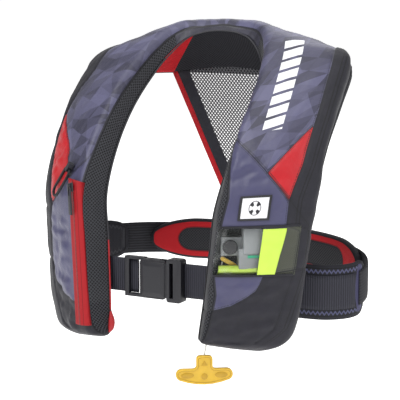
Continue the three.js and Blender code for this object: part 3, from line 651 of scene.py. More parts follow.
def smooth(x, low, high):
    x = min(max((x - low) / (high - low), 0), 1)
    return x * x * (3 - 2 * x)


def drift(x, y, z):
    """Smooth noise."""
    return noise.noise(Vector((x, y, z)))


def groove(distance, width, depth):
    return -depth * math.exp(-((distance / width) ** 2))


ZIP_Q, LOOP_PLACE, BADGE_PLACE = -56, (-24, 228), (-20, 213)
WINDOW_MIDDLE = (-20, 153)


def still(q, run):
    """How much the cloth may wrinkle: held flat round the zip, the loop, the badge and the window."""
    up = TOTAL - run
    outside = lambda middle, wide, tall, at: max(abs(q - middle[0]) - wide, abs(at - middle[1]) - tall)
    if run < 330:
        near = [max(abs(q - ZIP_Q) - 20, run - 268, 10 - run), outside(LOOP_PLACE, 20, 34, run)]
    elif up < 330:
        near = [outside(BADGE_PLACE, 30, 22, up), outside(WINDOW_MIDDLE, 62, 40, up)]
    else:
        return 1
    return min(smooth(d, -2, 16) for d in near)


def relief(q, run, reach):
    """How far the cloth stands over its smooth shape."""
    p = panels(q, run)
    free = still(q, run) * smooth(reach - abs(q), 4, 22)
    at = Vector((q, run, 7))
    soft = noise.noise(at * 0.016) * 2.4 + noise.noise(at * 0.045) * 0.9
    taut = abs(drift(q * 0.06 + run * 0.03, run * 0.012, 3)) * 2.2
    plain = smooth(-p["print"], 0, 10) * smooth(-p["flap"], 0, 8) * smooth(-p["side"], 0, 8)
    sag = drift(q * 0.03, run * 0.075 + q * 0.02, 21) * 4.2
    slack = (sag + noise.noise(at * 0.11) * 0.9) * plain
    rise = (soft + taut * 0.5 + slack) * free
    for name, depth in (("flap", 1.1), ("print", 1.2), ("red", 1.0), ("low", 1.3), ("side", 1.0)):
        rise += groove(p[name], 1.7, depth) * (0.35 + 0.65 * still(q, run))
        rise += groove(p[name], 7.5, 0.5) * free
    rise += smooth(p["flap"], -0.6, 1.2) * 0.9
    rise += 0.9 * smooth(-p["print"], -0.5, 1) * smooth(p["red"], -1.5, 0.5)
    return rise + 5 * smooth(190 - abs(run - TOTAL / 2), 0, 120) * smooth(reach - abs(q), 4, 40)


def closing(run):
    """How far a lobe has its full thickness at a place: 0 at the foot, 1 past its rounding."""
    near = min(min(run, TOTAL - run) / FOOT_ROUND, 1)
    return math.sqrt(max(0, 1 - (1 - near) ** 2))


def narrowing(f, run):
    """The part of a section's width that its rounded foot leaves."""
    short = max(0, PLAN_ROUND - min(run, TOTAL - run))
    tuck = PLAN_ROUND - math.sqrt(max(0, PLAN_ROUND**2 - short**2))
    return (f.half - tuck) / f.half


def shape_at(run, q, lift, f):
    """A place on the front cover's cloth, with the feet of the lobes rounded off."""
    s, h, normal = f.over(q)
    low = -f.thick / 2
    return f.at(s * narrowing(f, run), low + (h - low) * (0.12 + 0.88 * closing(run))) + normal * lift


def knots(f, run):
    """Cloth lines that the cover's columns follow at a station, so the window's edges stay straight."""
    reach = f.reach()
    ease = min(1, reach / 98)
    return [-reach, WINDOW_Q[0] * ease, WINDOW_Q[1] * ease, 42 * ease, reach]


COLUMNS = [12, 25, 17, 19]
cover_runs = spaced(0, TOTAL, 2.9, TOTAL - WINDOW_RUN[0], TOTAL - WINDOW_RUN[1], 6, 3, TOTAL - 6, TOTAL - 3)


def make_cover():
    points, uvs = [], []
    marks = {name: [] for name in ("flap", "print", "red", "low", "side", "olive")}
    for run, f in sections(cover_runs):
        stops = knots(f, run)
        qs = [stops[0]]
        for a, b, n in zip(stops, stops[1:], COLUMNS):
            qs += [a + (b - a) * (i + 1) / n for i in range(n)]
        for q in qs:
            points.append(shape_at(run, q, relief(q, run, f.reach()), f))
            uvs.append((q, run))
            for name, value in panels(q, run).items():
                marks[name].append(value)
    width = sum(COLUMNS) + 1
    window = range(COLUMNS[0], COLUMNS[0] + COLUMNS[1])
    faces = []
    for i in range(len(cover_runs) - 1):
        middle = TOTAL - (cover_runs[i] + cover_runs[i + 1]) / 2
        open_row = WINDOW_RUN[0] < middle < WINDOW_RUN[1]
        for j in range(width - 1):
            if not (open_row and j in window):
                a = i * width + j
                faces.append((a, a + 1, a + width + 1, a + width))
    piece = new_object("front_cover", points, faces, cover_cloth, uvs, marks)
    with editing(piece):
        bpy.ops.mesh.delete_loose()
    return thickened(facing(piece, section_at(TOTAL / 2).out), COVER_CLOTH)


cover = make_cover()
settle(cover, "navy_print_fabric", "front_cover_starboard", "front_cover_collar", "front_cover_port")


# ---- Panels and tapes that follow the band ----


def band_strip(name, outline, finish, marks=None):
    """A closed strip along the band. outline(f, run) gives (s, h) points round its section."""
    rings, uvs, values = [], [], []
    for run, f in sections(spaced(0, TOTAL, 5, 4, 8, 12, TOTAL - 12, TOTAL - 8, TOTAL - 4)):
        shape = outline(f, run)
        rings.append([f.at(s * narrowing(f, run), h) for s, h in shape])
        around, ring_uv = 0.0, []
        for i, place in enumerate(shape):
            around += math.dist(place, shape[i - 1]) if i else 0
            ring_uv.append((around, run))
        uvs.append(ring_uv)
        if marks:
            values += [marks(run)] * len(shape)
    return outward(loft(name, rings, finish, uvs, {"red": values} if marks else None))


def back_outline(f, run):
    """The wearer's side of a lobe: a soft spacer panel whose edges are rolled."""
    top, thick, half = -f.thick / 2 - BACK_GAP, BACK_THICK, f.half + 0.5
    dome = lambda s: 0.9 * (1 - (s / half) ** 2) * drift(s * 0.03, run * 0.02, 5)
    under = [half * (1 - i / 8) for i in range(17)]
    edge = [(half - 0.9, top), (half, top - 1.5), (half - 0.9, top - thick)]
    face = [(s * 0.97, top - thick - dome(s)) for s in under[1:-1]]
    other = [(-half + 0.9, top - thick), (-half, top - 1.5), (-half + 0.9, top)]
    return edge + face + other + [(s, top) for s in reversed(under[2:-2:2])]


def back_finish():
    f, u, v = on_cloth("wearer_side_mesh", Roughness=0.85, Specular_IOR_Level=0.2)
    holes = air_mesh(f, u, v, 4.6)
    colour = f.mix(holes.soft(0.3, 0.55), (0.020, 0.020, 0.025), (0.002, 0.002, 0.003))
    patch = f.mix(weave(f, u, v), RED, tint(RED, 1.3))
    colour = f.mix(f.mark("red") > 0, colour, patch)
    return f.look(colour, 1 - holes.soft(0.25, 0.6), 0.6, 0.5)


SHOULDER_RUN, SHOULDER_REACH = TOTAL / 2 - 118, 38


def shoulder_patch(run):
    """The red patch that joins the yoke's starboard trim to the inside of the collar."""
    return SHOULDER_REACH - abs(run - SHOULDER_RUN)


back_panel = band_strip("back_panel", back_outline, back_finish(), shoulder_patch)
settle(back_panel, "black_mesh_fabric", "back_panel_starboard", "back_panel_collar", "back_panel_port")


def closure_outline(f, run):
    """The burst zip round the outer edge: a folded tape with a rib of teeth between two piped edges."""
    near, low = f.half + 0.3, -f.thick / 2 - BACK_DEPTH
    outline = [(0, 0.5), (1.4, 0), (2.3, 1.6), (1.7, 3.4), (1.6, 6.4), (2.5, 7.4), (2.6, 8.6), (1.6, 9.6)]
    outline += [(1.6, 13.2), (2.4, 14.8), (1.4, 17), (0, 16.4)]
    return [(near + s, low + h * (0.2 + 0.8 * closing(run))) for s, h in outline]


def closure_finish():
    """Black tape: the teeth are fine ribs across the middle of the band."""
    f, u, v = on_cloth("closure_tape", Specular_IOR_Level=0.25)
    teeth, ribs = v.wave(2.6), v.wave(1.2)
    on_teeth = (u - 10.5).abs() < 2.2
    height = teeth * on_teeth * 1.4 + ribs * (1 - on_teeth) * 0.4
    shade = f.mix(height.soft(0, 1.2), (0.008, 0.008, 0.011), (0.035, 0.035, 0.044))
    return f.look(shade, height, 0.7, 0.4, Roughness=0.75 - on_teeth * 0.25)


closure = band_strip("closure_zip_band", closure_outline, closure_finish())
settle(closure, "black_fabric", "closure_zip")


def piping_outline(f, run):
    """A fine round cord, with the red cover gathered round it in a soft knob at the starboard foot."""
    knob = math.sin(math.pi * min(1, max(0, (run - 13) / 36))) ** 0.7
    near, low = -f.half - 0.9 - 4 * knob, -f.thick / 2 - 1.9
    wide, deep = 0.9 + 4 * knob, 1.2 + 3.4 * knob
    outline = []
    for i in range(16):
        c, s = math.cos(math.tau * i / 16), math.sin(math.tau * i / 16)
        crease = 1 + 0.16 * knob * drift(run * 0.22, 2 * c, 2 * s)
        outline.append((near + wide * crease * c, low + deep * crease * s))
    return outline


def piping_finish():
    """Red on the starboard lobe, black from the shoulder on."""
    f, u, v = on_cloth("edge_piping_cloth", Roughness=0.6)
    twist = (v + u).wave(2.2)
    red = f.mix(twist, tint(RED, 0.7), tint(RED, 1.2))
    black = f.mix(twist, (0.008, 0.008, 0.010), (0.03, 0.03, 0.038))
    return f.look(f.mix(f.mark("red") > 0, black, red), twist, 0.4, 0.3)


def red_piping(run):
    """Along the closed lobe, and round the knob at its foot."""
    return max(52 - abs(run - 105), 19 - abs(run - 31))


piping = band_strip("edge_piping_cord", piping_outline, piping_finish(), red_piping)
settle(piping, "red_fabric", "edge_piping")


# ---- Copies of moulded nodes with their edges eased ----


def node_copy(node, name, finish):
    """A copy of a CAD node, merged into plain faces, on the node's own body."""
    source = frame["nodes"][node]
    piece = bpy.data.objects.new(name, source.data.copy())
    bpy.context.collection.objects.link(piece)
    piece.data.materials.clear()
    piece.data.materials.append(finish)
    with editing(piece):
        bpy.ops.mesh.remove_doubles(threshold=2e-5)
        bpy.ops.mesh.dissolve_limited(angle_limit=math.radians(1))
        bpy.ops.mesh.normals_make_consistent(inside=False)
    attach(piece, source["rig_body"])
    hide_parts(node)
    return piece


def eased(node, name, finish, slot, width):
    """A moulded piece: the node's own shape with rounded edges."""
    piece = rounded(node_copy(node, name, finish), width, 3, 28)
    shaded(piece, 40)


black_plastic = plastic("black_plastic", (0.016, 0.016, 0.019), 0.42)
buckle_plastic = plastic("buckle_plastic", (0.008, 0.008, 0.012), 0.5, grain=0.25)
grey_plastic = plastic("grey_plastic", (0.22, 0.235, 0.24), 0.35)
green_plastic = plastic("green_plastic", (0.01, 0.30, 0.16), 0.35)
whistle_plastic = plastic("whistle_plastic", (0.70, 0.42, 0.03), 0.4)
lever_plastic = plastic("lever_plastic", (0.70, 0.45, 0.04), 0.4)
puller_rubber = plastic("puller_rubber", (0.014, 0.014, 0.017), 0.6, grain=0.3)
cap_plastic = plastic("dust_cap_red", RED, 0.4)

for moulded in (
    ("buckle_socket", "buckle_socket_body", buckle_plastic, "black_plastic", 1.3),
    ("buckle_plug", "buckle_plug_body", buckle_plastic, "black_plastic", 1.0),
    ("buckle_prong_upper", "buckle_prong_top", buckle_plastic, "black_plastic", 0.8),
    ("buckle_prong_lower", "buckle_prong_bottom", buckle_plastic, "black_plastic", 0.8),
    ("zip_slider", "zip_slider_body", black_plastic, "black_plastic", 0.45),
    ("zip_puller", "zip_puller_tab", puller_rubber, "puller_rubber", 0.9),
    ("inflator_body", "inflator_block", grey_plastic, "grey_plastic", 1.6),
    ("inflator_cap", "inflator_knob", black_plastic, "black_plastic", 1.0),
    ("status_indicator", "status_bar", green_plastic, "green_plastic", 0.3),
    ("pull_lever", "manual_lever", lever_plastic, "yellow_plastic", 0.6),
    ("oral_tube", "oral_tube_hose", black_plastic, "black_plastic", 0.8),
    ("oral_tube_cap", "oral_tube_dust_cap", cap_plastic, "red_fabric", 0.8),
    ("whistle", "whistle_body", whistle_plastic, "yellow_plastic", 1.2),
):
    eased(*moulded)


def socket_shell():
    """The domed front of the buckle's socket."""
    low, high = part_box("buckle_socket")
    bpy.ops.mesh.primitive_cube_add(size=1)
    shell = bpy.context.object
    shell.name = "buckle_socket_shell"
    size = Vector((39 * MM, 1.6 * MM, high.z - low.z - 8 * MM))
    place = Vector((high.x - 2 * MM - size.x / 2, low.y - 0.3 * MM, (low.z + high.z) / 2))
    shell.data.transform(Matrix.Translation(place) @ Matrix.Diagonal((*size, 1)))
    face_towards(shell, Vector((0, -1, 0)), 0.9)
    bpy.ops.mesh.inset(thickness=6 * MM, depth=2 * MM)
    bpy.ops.object.mode_set(mode="OBJECT")
    rounded(shell, 1.6, 4, 8)
    shell.data.shade_smooth()
    shell.data.materials.append(buckle_plastic)
    settle(shell, "black_plastic", body=frame["nodes"]["buckle_socket"]["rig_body"])


socket_shell()


def steel_finish():
    f = Finish("brushed_steel", Metallic=1.0)
    x, y, z = f.parts(f.place())
    stretched = f.node("CombineXYZ", None, x * 40, y * 40, z * 900)
    brush = f.noise(stretched, 1.0)
    shade = f.mix(brush, (0.30, 0.31, 0.33), (0.50, 0.51, 0.53))
    return f.look(shade, brush, 0.1, 0.1, Roughness=brush * 0.2 + 0.25)


eased("gas_cylinder", "gas_bottle", steel_finish(), "cylinder_steel", 0.8)


# ---- Belt: one line round the waist ----

BUCKLE_DEPTH = -119
WEB, WEB_THICK, WING_THICK, PAD_THICK = 50, 2, 3, 8
WEB_OUT = WING_THICK / 2 + 0.3


def behind_lobe(s, port, height):
    """A point of the belt's middle line behind a lobe, s mm across from the lobe's middle."""
    f = Section(LAST - 2.8 if port else 2.7)
    p = f.at(s, -f.thick / 2 - BACK_DEPTH - 1.1 - WEB_THICK - 0.3 - WING_THICK / 2)
    return Vector((p.x, p.y, height - SEAT))


def waist(*points):
    return [Vector((x, y, z - SEAT)) for x, y, z in points]


BELT = waist((-30, BUCKLE_DEPTH, -97), (-52, BUCKLE_DEPTH, -97), (-76, BUCKLE_DEPTH, -97))
BELT += [behind_lobe(-50, False, -98), behind_lobe(0, False, -98), behind_lobe(52, False, -97)]
BELT += waist((-214, -28, -96), (-226, 14, -93), (-214, 62, -91), (-172, 112, -90), (-100, 150, -90))
BELT += waist((-40, 164, -90), (40, 164, -90), (108, 152, -91), (178, 124, -94), (228, 84, -99))
BELT += waist((252, 38, -106), (250, 0, -112), (222, -32, -113))
BELT += [behind_lobe(52, True, -109), behind_lobe(0, True, -104), behind_lobe(-50, True, -99)]
BELT += waist((76, BUCKLE_DEPTH, -97), (52, BUCKLE_DEPTH, -97), (22, BUCKLE_DEPTH, -97))
BACK_FLAT = 11


def belt_point(t):
    """Centripetal Catmull-Rom through the belt's points."""
    i = min(int(t), len(BELT) - 2)
    w = t - i
    b, c = BELT[i], BELT[i + 1]
    a = BELT[i - 1] if i else 2 * b - c
    d = BELT[i + 2] if i + 2 < len(BELT) else 2 * c - b
    d0, d1, d2 = (math.sqrt((q - p).length) for p, q in ((a, b), (b, c), (c, d)))
    m1 = ((b - a) / d0 - (c - a) / (d0 + d1) + (c - b) / d1) * d1
    m2 = ((c - b) / d1 - (d - b) / (d1 + d2) + (d - c) / d2) * d1
    return b + m1 * w + (3 * c - 3 * b - 2 * m1 - m2) * w * w + (2 * b - 2 * c + m1 + m2) * w**3


def belt_frame(t):
    along = belt_point(min(t + 0.01, len(BELT) - 1)) - belt_point(max(t - 0.01, 0))
    along.z = 0
    along.normalize()
    if BACK_FLAT <= t <= BACK_FLAT + 1:
        along = Vector((1, 0, 0))
    return belt_point(t), Vector((-along.y, along.x, 0))


BELT_RUN = [0.0]
for i in range(1, (len(BELT) - 1) * 20 + 1):
    BELT_RUN.append(BELT_RUN[-1] + (belt_point(i / 20) - belt_point((i - 1) / 20)).length)


def belt_run(t):
    i = min(int(t * 20), len(BELT_RUN) - 2)
    return BELT_RUN[i] + (BELT_RUN[i + 1] - BELT_RUN[i]) * (t * 20 - i)


def round_end(t, start, end, half, reach, blunt):
    near = min(t - start, end - t) / reach
    return half if near >= 1 else half * (blunt + (1 - blunt) * math.sqrt(max(0, 1 - (1 - near) ** 2)))


def oval_inside(half, v, ends):
    """Distance inside the pad's middle oval, whose ends are round."""
    reach = half - 14
    past = 46 + reach - ends
    return reach - (math.hypot(past, v * half) if past > 0 else abs(v * half))


def belt_piece(name, node, slot, finish, span, low, high, half_of, across=9, puff=0.0, edge=0.5, wave=0.0):
    """A strip on the belt line from low to high out of it, with rolled edges. puff swells its inner face."""
    rings, uvs, marks = [], [], {"inset": [], "face": [], "oval": []}
    start, end = (belt_run(t) for t in span)
    for t in spaced(*span, 0.09):
        p, out = belt_frame(t)
        half, run = half_of(t), belt_run(t)
        ends = min(run - start, end - run)
        ring, ring_uv = [], []
        for face, level_at, order in ((0, low, range(across + 1)), (1, high, range(across, -1, -1))):
            for i in order:
                v = 2 * i / across - 1
                round_in = edge * (abs(v) == 1)
                inset = min(half * (1 - abs(v)), ends)
                swell = 0 if face else -puff * math.sqrt(1 - min(1, max(0, 1 - inset / 14)) ** 2)
                ripple = wave * drift(run * 0.05, v * 2, 9)
                q = p + out * (level_at + swell + ripple + (-round_in if face else round_in))
                q.z += v * (half - 0.2 * round_in)
                ring.append(q)
                ring_uv.append((run, v * half))
                marks["inset"].append(inset)
                marks["face"].append(face)
                marks["oval"].append(oval_inside(half, v, ends))
        rings.append(ring)
        uvs.append(ring_uv)
    return settle(outward(loft(name, rings, finish, uvs, marks)), slot, node)


def elastic_finish():
    f, u, v = on_cloth("elastic_belt", Specular_IOR_Level=0.25)
    rib, cross = v.wave(4.2), u.wave(1.6)
    shade = f.mix(rib * 0.7 + cross * 0.3, (0.008, 0.008, 0.010), (0.035, 0.035, 0.042))
    return f.look(shade, rib + cross * 0.4, 0.7, 0.5, Roughness=rib * 0.15 + 0.7)


def wing_finish(name, thread, strip=None):
    """Black wing bound round its edge, with zig-zag stitching and, where one is given, a strip across it."""
    f, u, v = on_cloth(name, Specular_IOR_Level=0.25)
    inset, threads = f.mark("inset"), weave(f, u, v, 1.4)
    zig = ((u / 6.4).fract() - 0.5).abs() * 9
    row = ((inset - 7.5 - zig).abs() < 1.5) * (inset > 6)
    shade = f.mix(threads, (0.007, 0.007, 0.010), (0.026, 0.026, 0.034))
    shade = f.mix(row, shade, thread)
    hem = (inset - 5.2).abs() < 0.6
    shade = f.mix(hem * 0.8, shade, (0.003, 0.003, 0.004))
    if strip:
        across = ((u - strip + v * v * 0.005).abs() < 5) * (inset > 5)
        shade = f.mix(across, shade, f.mix(weave(f, u, v), tint(NAVY, 0.8), tint(NAVY, 1.5)))
    return f.look(shade, threads + row * 1.5, 0.6, 0.4, Roughness=0.7 - row * 0.15)


def pad_finish():
    """Black binding, a red ring and a black mesh oval towards the wearer, plain black behind."""
    f, u, v = on_cloth("back_pad_cloth", Roughness=0.7, Specular_IOR_Level=0.25)
    inset, face, oval = f.mark("inset"), f.mark("face"), f.mark("oval")
    holes, threads = air_mesh(f, u, v, 4.6), weave(f, u, v)
    black_mesh = f.mix(holes.soft(0.3, 0.55), (0.030, 0.031, 0.036), (0.004, 0.004, 0.005))
    bound = f.mix(threads, (0.007, 0.007, 0.010), (0.022, 0.022, 0.028))
    colour = f.mix(inset > 4.8, bound, f.mix(threads, RED, tint(RED, 1.3)))
    colour = f.mix(oval > 0, colour, bound)
    colour = f.mix(oval > 3, colour, black_mesh)
    colour = f.mix(face > 0.5, colour, bound)
    seam = (oval + 0.8).abs() < 0.6
    return f.look(f.mix(seam * 0.7, colour, (0.05, 0.002, 0.004)), threads, 0.5, 0.3)


WING_PORT, WING_STARBOARD, PAD = (16.25, 20.5), (3.5, 8.75), (9.25, 15)
BELT_END, KEEPER_THICK, KEEPER_HALF = len(BELT) - 1, 1.2, 0.28
starboard_wing = wing_finish("wing_cloth_starboard", (0.030, 0.030, 0.036))
port_wing = wing_finish("wing_cloth_port", (0.075, 0.078, 0.150), belt_run(WING_PORT[0]) + 22)
for side, finish, span, half, reach in (
    ("starboard", starboard_wing, WING_STARBOARD, 32, 0.6),
    ("port", port_wing, WING_PORT, 40, 0.5),
):
    belt_piece(f"belt_wing_{side}_cloth", f"belt_wing_{side}", "black_fabric", finish, span,
               -WING_THICK / 2, WING_THICK / 2, lambda t: round_end(t, *span, half, reach, 0.45), wave=0.5)
for name, node, finish, span in (
    ("belt_elastic_web", "belt_elastic", elastic_finish(), (8.25, 16.75)),
    ("belt_strap_port_web", "belt_strap_port", belt_web, (17, BELT_END)),
    ("belt_strap_starboard_web", "belt_strap_starboard", belt_web, (0.25, 6)),
):
    belt_piece(name, node, "belt_webbing", finish, span, WEB_OUT, WEB_OUT + WEB_THICK, lambda t: WEB / 2)
back_pad = belt_piece("back_pad_cushion", "back_pad", "red_fabric", pad_finish(), PAD,
                      WEB_OUT - 0.3 - PAD_THICK, WEB_OUT - 0.3, lambda t: round_end(t, *PAD, 33, 1, 0.08),
                      across=24, puff=3.0, edge=2.5)
for side, t in (("starboard", 3.6), ("port", BELT_END - 3.6)):
    low = WEB_OUT - WING_THICK - 0.6 - KEEPER_THICK
    belt_piece(f"strap_keeper_{side}_web", f"strap_keeper_{side}", "belt_webbing", belt_web,
               (t - KEEPER_HALF, t + KEEPER_HALF), low, low + KEEPER_THICK, lambda t: WEB / 2 + 6, edge=0.3)


# ---- Back yoke ----


def net_finish():
    """See-through net: the alpha is cut in diamonds."""
    f, u, v = on_cloth("yoke_net", Roughness=0.8)
    holes = air_mesh(f, u * 1.2, v, 6.6)
    shade = f.mix(holes.soft(0, 0.35), (0.10, 0.10, 0.11), (0.03, 0.03, 0.035))
    return f.look(shade, 1 - holes, 0.5, 0.5, Alpha=1 - holes.soft(0.28, 0.32))


def laid_over(node, name, finish, wave=0.8):
    """A cloth piece made from a flat node: finely divided, edges rounded, a slight wave in its face."""
    piece = applied(rounded(node_copy(node, name, finish), 0.5), "TRIANGULATE")
    mesh = piece.data
    place = lambda i: mesh.vertices[i].co
    long = lambda edge: (place(edge.vertices[0]) - place(edge.vertices[1])).length > 10 * MM
    for _ in range(5):
        picking(piece, "EDGE", mesh.edges, long)
        bpy.ops.mesh.subdivide()
        bpy.ops.object.mode_set(mode="OBJECT")
    while mesh.uv_layers:
        mesh.uv_layers.remove(mesh.uv_layers[0])
    layer = mesh.uv_layers.new(name="Cloth")
    for loop in mesh.loops:
        layer.data[loop.index].uv = place(loop.vertex_index).xz
    for vertex in mesh.vertices:
        vertex.co.y += wave * MM * noise.noise(vertex.co * 22)
    mesh.shade_smooth()
    return piece


net = laid_over("yoke_mesh", "yoke_net", net_finish(), wave=0.6)
low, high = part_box("yoke_mesh")
for side in ("port", "starboard"):
    laid_over(f"yoke_trim_{side}", f"yoke_edge_{side}", red_cloth)
    laid_over(f"yoke_binding_{side}", f"yoke_tape_{side}", black_cloth)


# ---- Port window: film, bay, folded bladder and lime flag ----

def port_run(run):
    """A run along the port lobe from its foot, as a run along the whole band, and back."""
    return TOTAL - run


def cloth_patch(name, q_at, runs, finish, lift, thick, columns, wave=0.0):
    """A patch on the front cover. q_at(run) gives its two edges, and lift how far it stands off the cloth."""
    rows, uvs = [], []
    for run, f in sections(runs):
        a, b = q_at(run)
        row = []
        qs = [a + (b - a) * i / columns for i in range(columns + 1)]
        for q in qs:
            slack = min(1, min(q - a, b - q) / 6) * wave
            row.append(shape_at(run, q, lift + slack * drift(q * 0.05, run * 0.09, 13), f))
        rows.append(row)
        uvs.append([(q, run) for q in qs])
    piece = loft(name, rows, finish, uvs, closed=False)
    return thickened(facing(piece, section_at(runs[len(runs) // 2]).out), thick, offset=1)


def film_finish():
    """Clear vinyl: faintly milky, with soft creases."""
    f = Finish("clear_vinyl", Roughness=0.12, IOR=1.5)
    place = f.place()
    crease = f.noise(place, 38.0, 2.0)
    haze = crease.soft(0.55, 0.75)
    shade = f.mix(haze, (0.40, 0.42, 0.41), (0.80, 0.82, 0.81))
    return f.look(shade, crease, 0.5, 1.2, Alpha=haze * 0.07 + 0.02)


film_runs = spaced(port_run(WINDOW_RUN[1]) - 1.5, port_run(WINDOW_RUN[0]) + 1.5, 3)
film_edges = (WINDOW_Q[0] - 1, WINDOW_Q[1] + 1.5)
film = cloth_patch("window_film", lambda run: film_edges, film_runs, film_finish(), 0.9, 0.4, 24, wave=1.0)
settle(film, "clear_film", "inflator_window")

hem_cloth = plain_cloth("window_binding", (0.014, 0.014, 0.018), 0.6)
for name, at, outer in (("window_hem_top", 190, 49), ("window_hem_bottom", 120, 47)):
    runs = spaced(port_run(at + 1.5), port_run(at - 1.5), 1)
    settle(cloth_patch(name, lambda run: (-66, outer), runs, hem_cloth, 1.0, 0.9, 40), "black_fabric")


def flag_edges(run):
    return -4.5, level([(117, 20), (184, 29)], port_run(run))


flag_runs = spaced(port_run(187), port_run(120), 3)
flag = cloth_patch("lime_flag", flag_edges, flag_runs, lime_cloth, 1.3, 0.5, 12, wave=1.6)
settle(flag, "lime_coated_fabric")


def bay_tray():
    """The lined hollow behind the window that holds the inflator, open below for the lever and its cord."""
    runs = spaced(port_run(WINDOW_RUN[1]) - 2, port_run(WINDOW_RUN[0]) + 2, 6)
    hollow = ((-69, 1.5), (-62, 9), (-58, 24), (-40, 33), (-15, 33), (-1, 28), (0, 12), (-1, 1.5))
    rows, uvs = [], []
    for i, (run, f) in enumerate(sections(runs)):
        row = []
        for q, depth in hollow:
            s, h, _ = f.over(q)
            row.append(f.at(s * 0.985, h - (depth if i else 1.6)))
        rows.append(row)
        uvs.append([(j * 12, run) for j in range(len(row))])
    return thickened(loft("window_bay_lining", rows, lining, uvs, closed=False), 0.6, offset=0)


lining = plain_cloth("bay_lining", (0.016, 0.017, 0.018), 0.8)
settle(bay_tray(), "lime_coated_fabric")


def bladder_finish():
    f = Finish("coated_lime", Roughness=0.35)
    place = f.place()
    shade = f.mix(f.noise(place, 30.0), tint(LIME, 0.75), tint(LIME, 1.05))
    return f.look(shade, f.noise(place, 120.0, 4.0), 0.4, 0.8)


def bladder_fold(f, run, half, low, high):
    """A folded packet of bladder cloth: pleats along the lobe."""
    ring = []
    for i in range(17):
        pleat = 1.2 * math.cos(i * math.pi / 2) + drift(i * 0.7, run * 0.05, 2)
        ring.append(f.at(half * (i / 8 - 1), high + pleat))
    return ring + [f.at(half * (1 - i / 4), low) for i in range(9)]


def lobe_packet(name, start, end):
    rings = []
    for run, f in sections(spaced(start, end, 9)):
        taper = 0.35 + 0.65 * math.sqrt(min(1, min(run - start, end - run) / 25 + 0.02))
        low = -f.thick / 2 + 3
        rings.append(bladder_fold(f, run, (f.half - 17) * taper, low, low + (f.thick - 10) * 0.55 * taper))
    return outward(loft(name, rings, coated))


def window_packet(start, end):
    """The fold that shows at the bottom of the window."""
    rings = []
    for run, f in sections(spaced(start, end, 2)):
        sunk = 3.5 + 9 * (1 - math.sin(math.pi * min(1, max(0, (run - start) / 13))))
        ring = []
        for i in range(25):
            q = -60 + 56 * i / 24
            s, h, _ = f.over(q)
            ring.append(f.at(s * 0.96, h - sunk + 1.6 * drift(q * 0.13, run * 0.1, 4)))
        rings.append(ring + [p - f.out * 8 for p in reversed(ring)])
    return outward(loft("bladder_window", rings, coated))


coated = bladder_finish()
packets = [
    lobe_packet("bladder_upper", 40, port_run(206)),
    lobe_packet("bladder_lower", port_run(112), port_run(34)),
    window_packet(port_run(132), port_run(119)),
]
bladder = settle(joined(packets, "folded_bladder"), "lime_coated_fabric", "bladder")


# ---- Badge: a black patch with a white field and a plain device ----


def badge_finish():
    f, u, v = on_cloth("badge_cloth", Roughness=0.55)
    x, y = u + 20, v - port_run(213)
    field = (x.abs() < 18.5) * (y.abs() < 12.2)
    radius = (x * x + y * y).root()
    ring = (radius - 6).abs() < 2.6
    gaps = (x.abs() > y.abs() * 0.45) * (y.abs() > x.abs() * 0.45)
    device = ring * (gaps.max(radius > 7.6))
    rim = ((x.abs() > 17.6).max(y.abs() > 11.3)) * field
    threads = weave(f, u, v, 0.7)
    shade = f.mix(field, (0.010, 0.010, 0.013), (0.80, 0.80, 0.82))
    shade = f.mix(device, shade, (0.012, 0.012, 0.016))
    shade = f.mix(rim * 0.15, shade, (0.3, 0.3, 0.33))
    return f.look(shade, threads + field * 2, 0.4, 0.3)


badge_runs = spaced(port_run(228), port_run(198), 3)
badge = cloth_patch("front_badge_patch", lambda run: (-42, 2), badge_runs, badge_finish(), 1.0, 1.0, 14)
settle(rounded(badge, 0.3, 2, 50), "white_woven", "front_badge")


# ---- Starboard pocket zip, loop and anchor ----


def zip_finish():
    """Red zip tape with its coil down the middle."""
    f = Finish("pocket_zip_cloth", Specular_IOR_Level=0.3)
    v = f.cloth()[1]
    off = f.mark("mark").abs()
    coil, chain, edge = off < 2.1, off < 0.35, (off - 7.2).abs() < 0.5
    teeth, ribs = v.wave(1.9), v.wave(1.0)
    red = f.mix(ribs, tint(RED, 0.75), tint(RED, 1.1))
    shade = f.mix(coil, red, f.mix(teeth, tint(RED, 0.25), tint(RED, 1.0)))
    shade = f.mix(chain * 0.7, shade, (0.03, 0.001, 0.002))
    shade = f.mix(edge * 0.6, shade, tint(RED, 0.3))
    height = coil * (teeth * 1.2 + 1.0) + ribs * 0.3 * (1 - coil)
    return f.look(shade, height, 0.7, 0.5, Roughness=0.6 - coil * 0.2)


TAPE, TAPE_EDGE, TAPE_LIFT, TAPE_THICK = 22, 1, 0.85, 1.4


def face_height(f, s):
    over = abs(s) - (f.half - CORNER)
    if over > 0:
        return f.thick / 2 - CORNER + math.sqrt(max(CORNER**2 - over**2, 0))
    return f.thick / 2 + CROWN * (1 - (s / (f.half - CORNER)) ** 2)


def zip_point(run):
    """The tape's middle line on the lobe's face, and its section."""
    f = section_at(run)
    s = -f.half + TAPE_EDGE + TAPE / 2
    return f.at(s, face_height(f, s)), f


def station_run(k):
    return RUN[round(k * 20)]


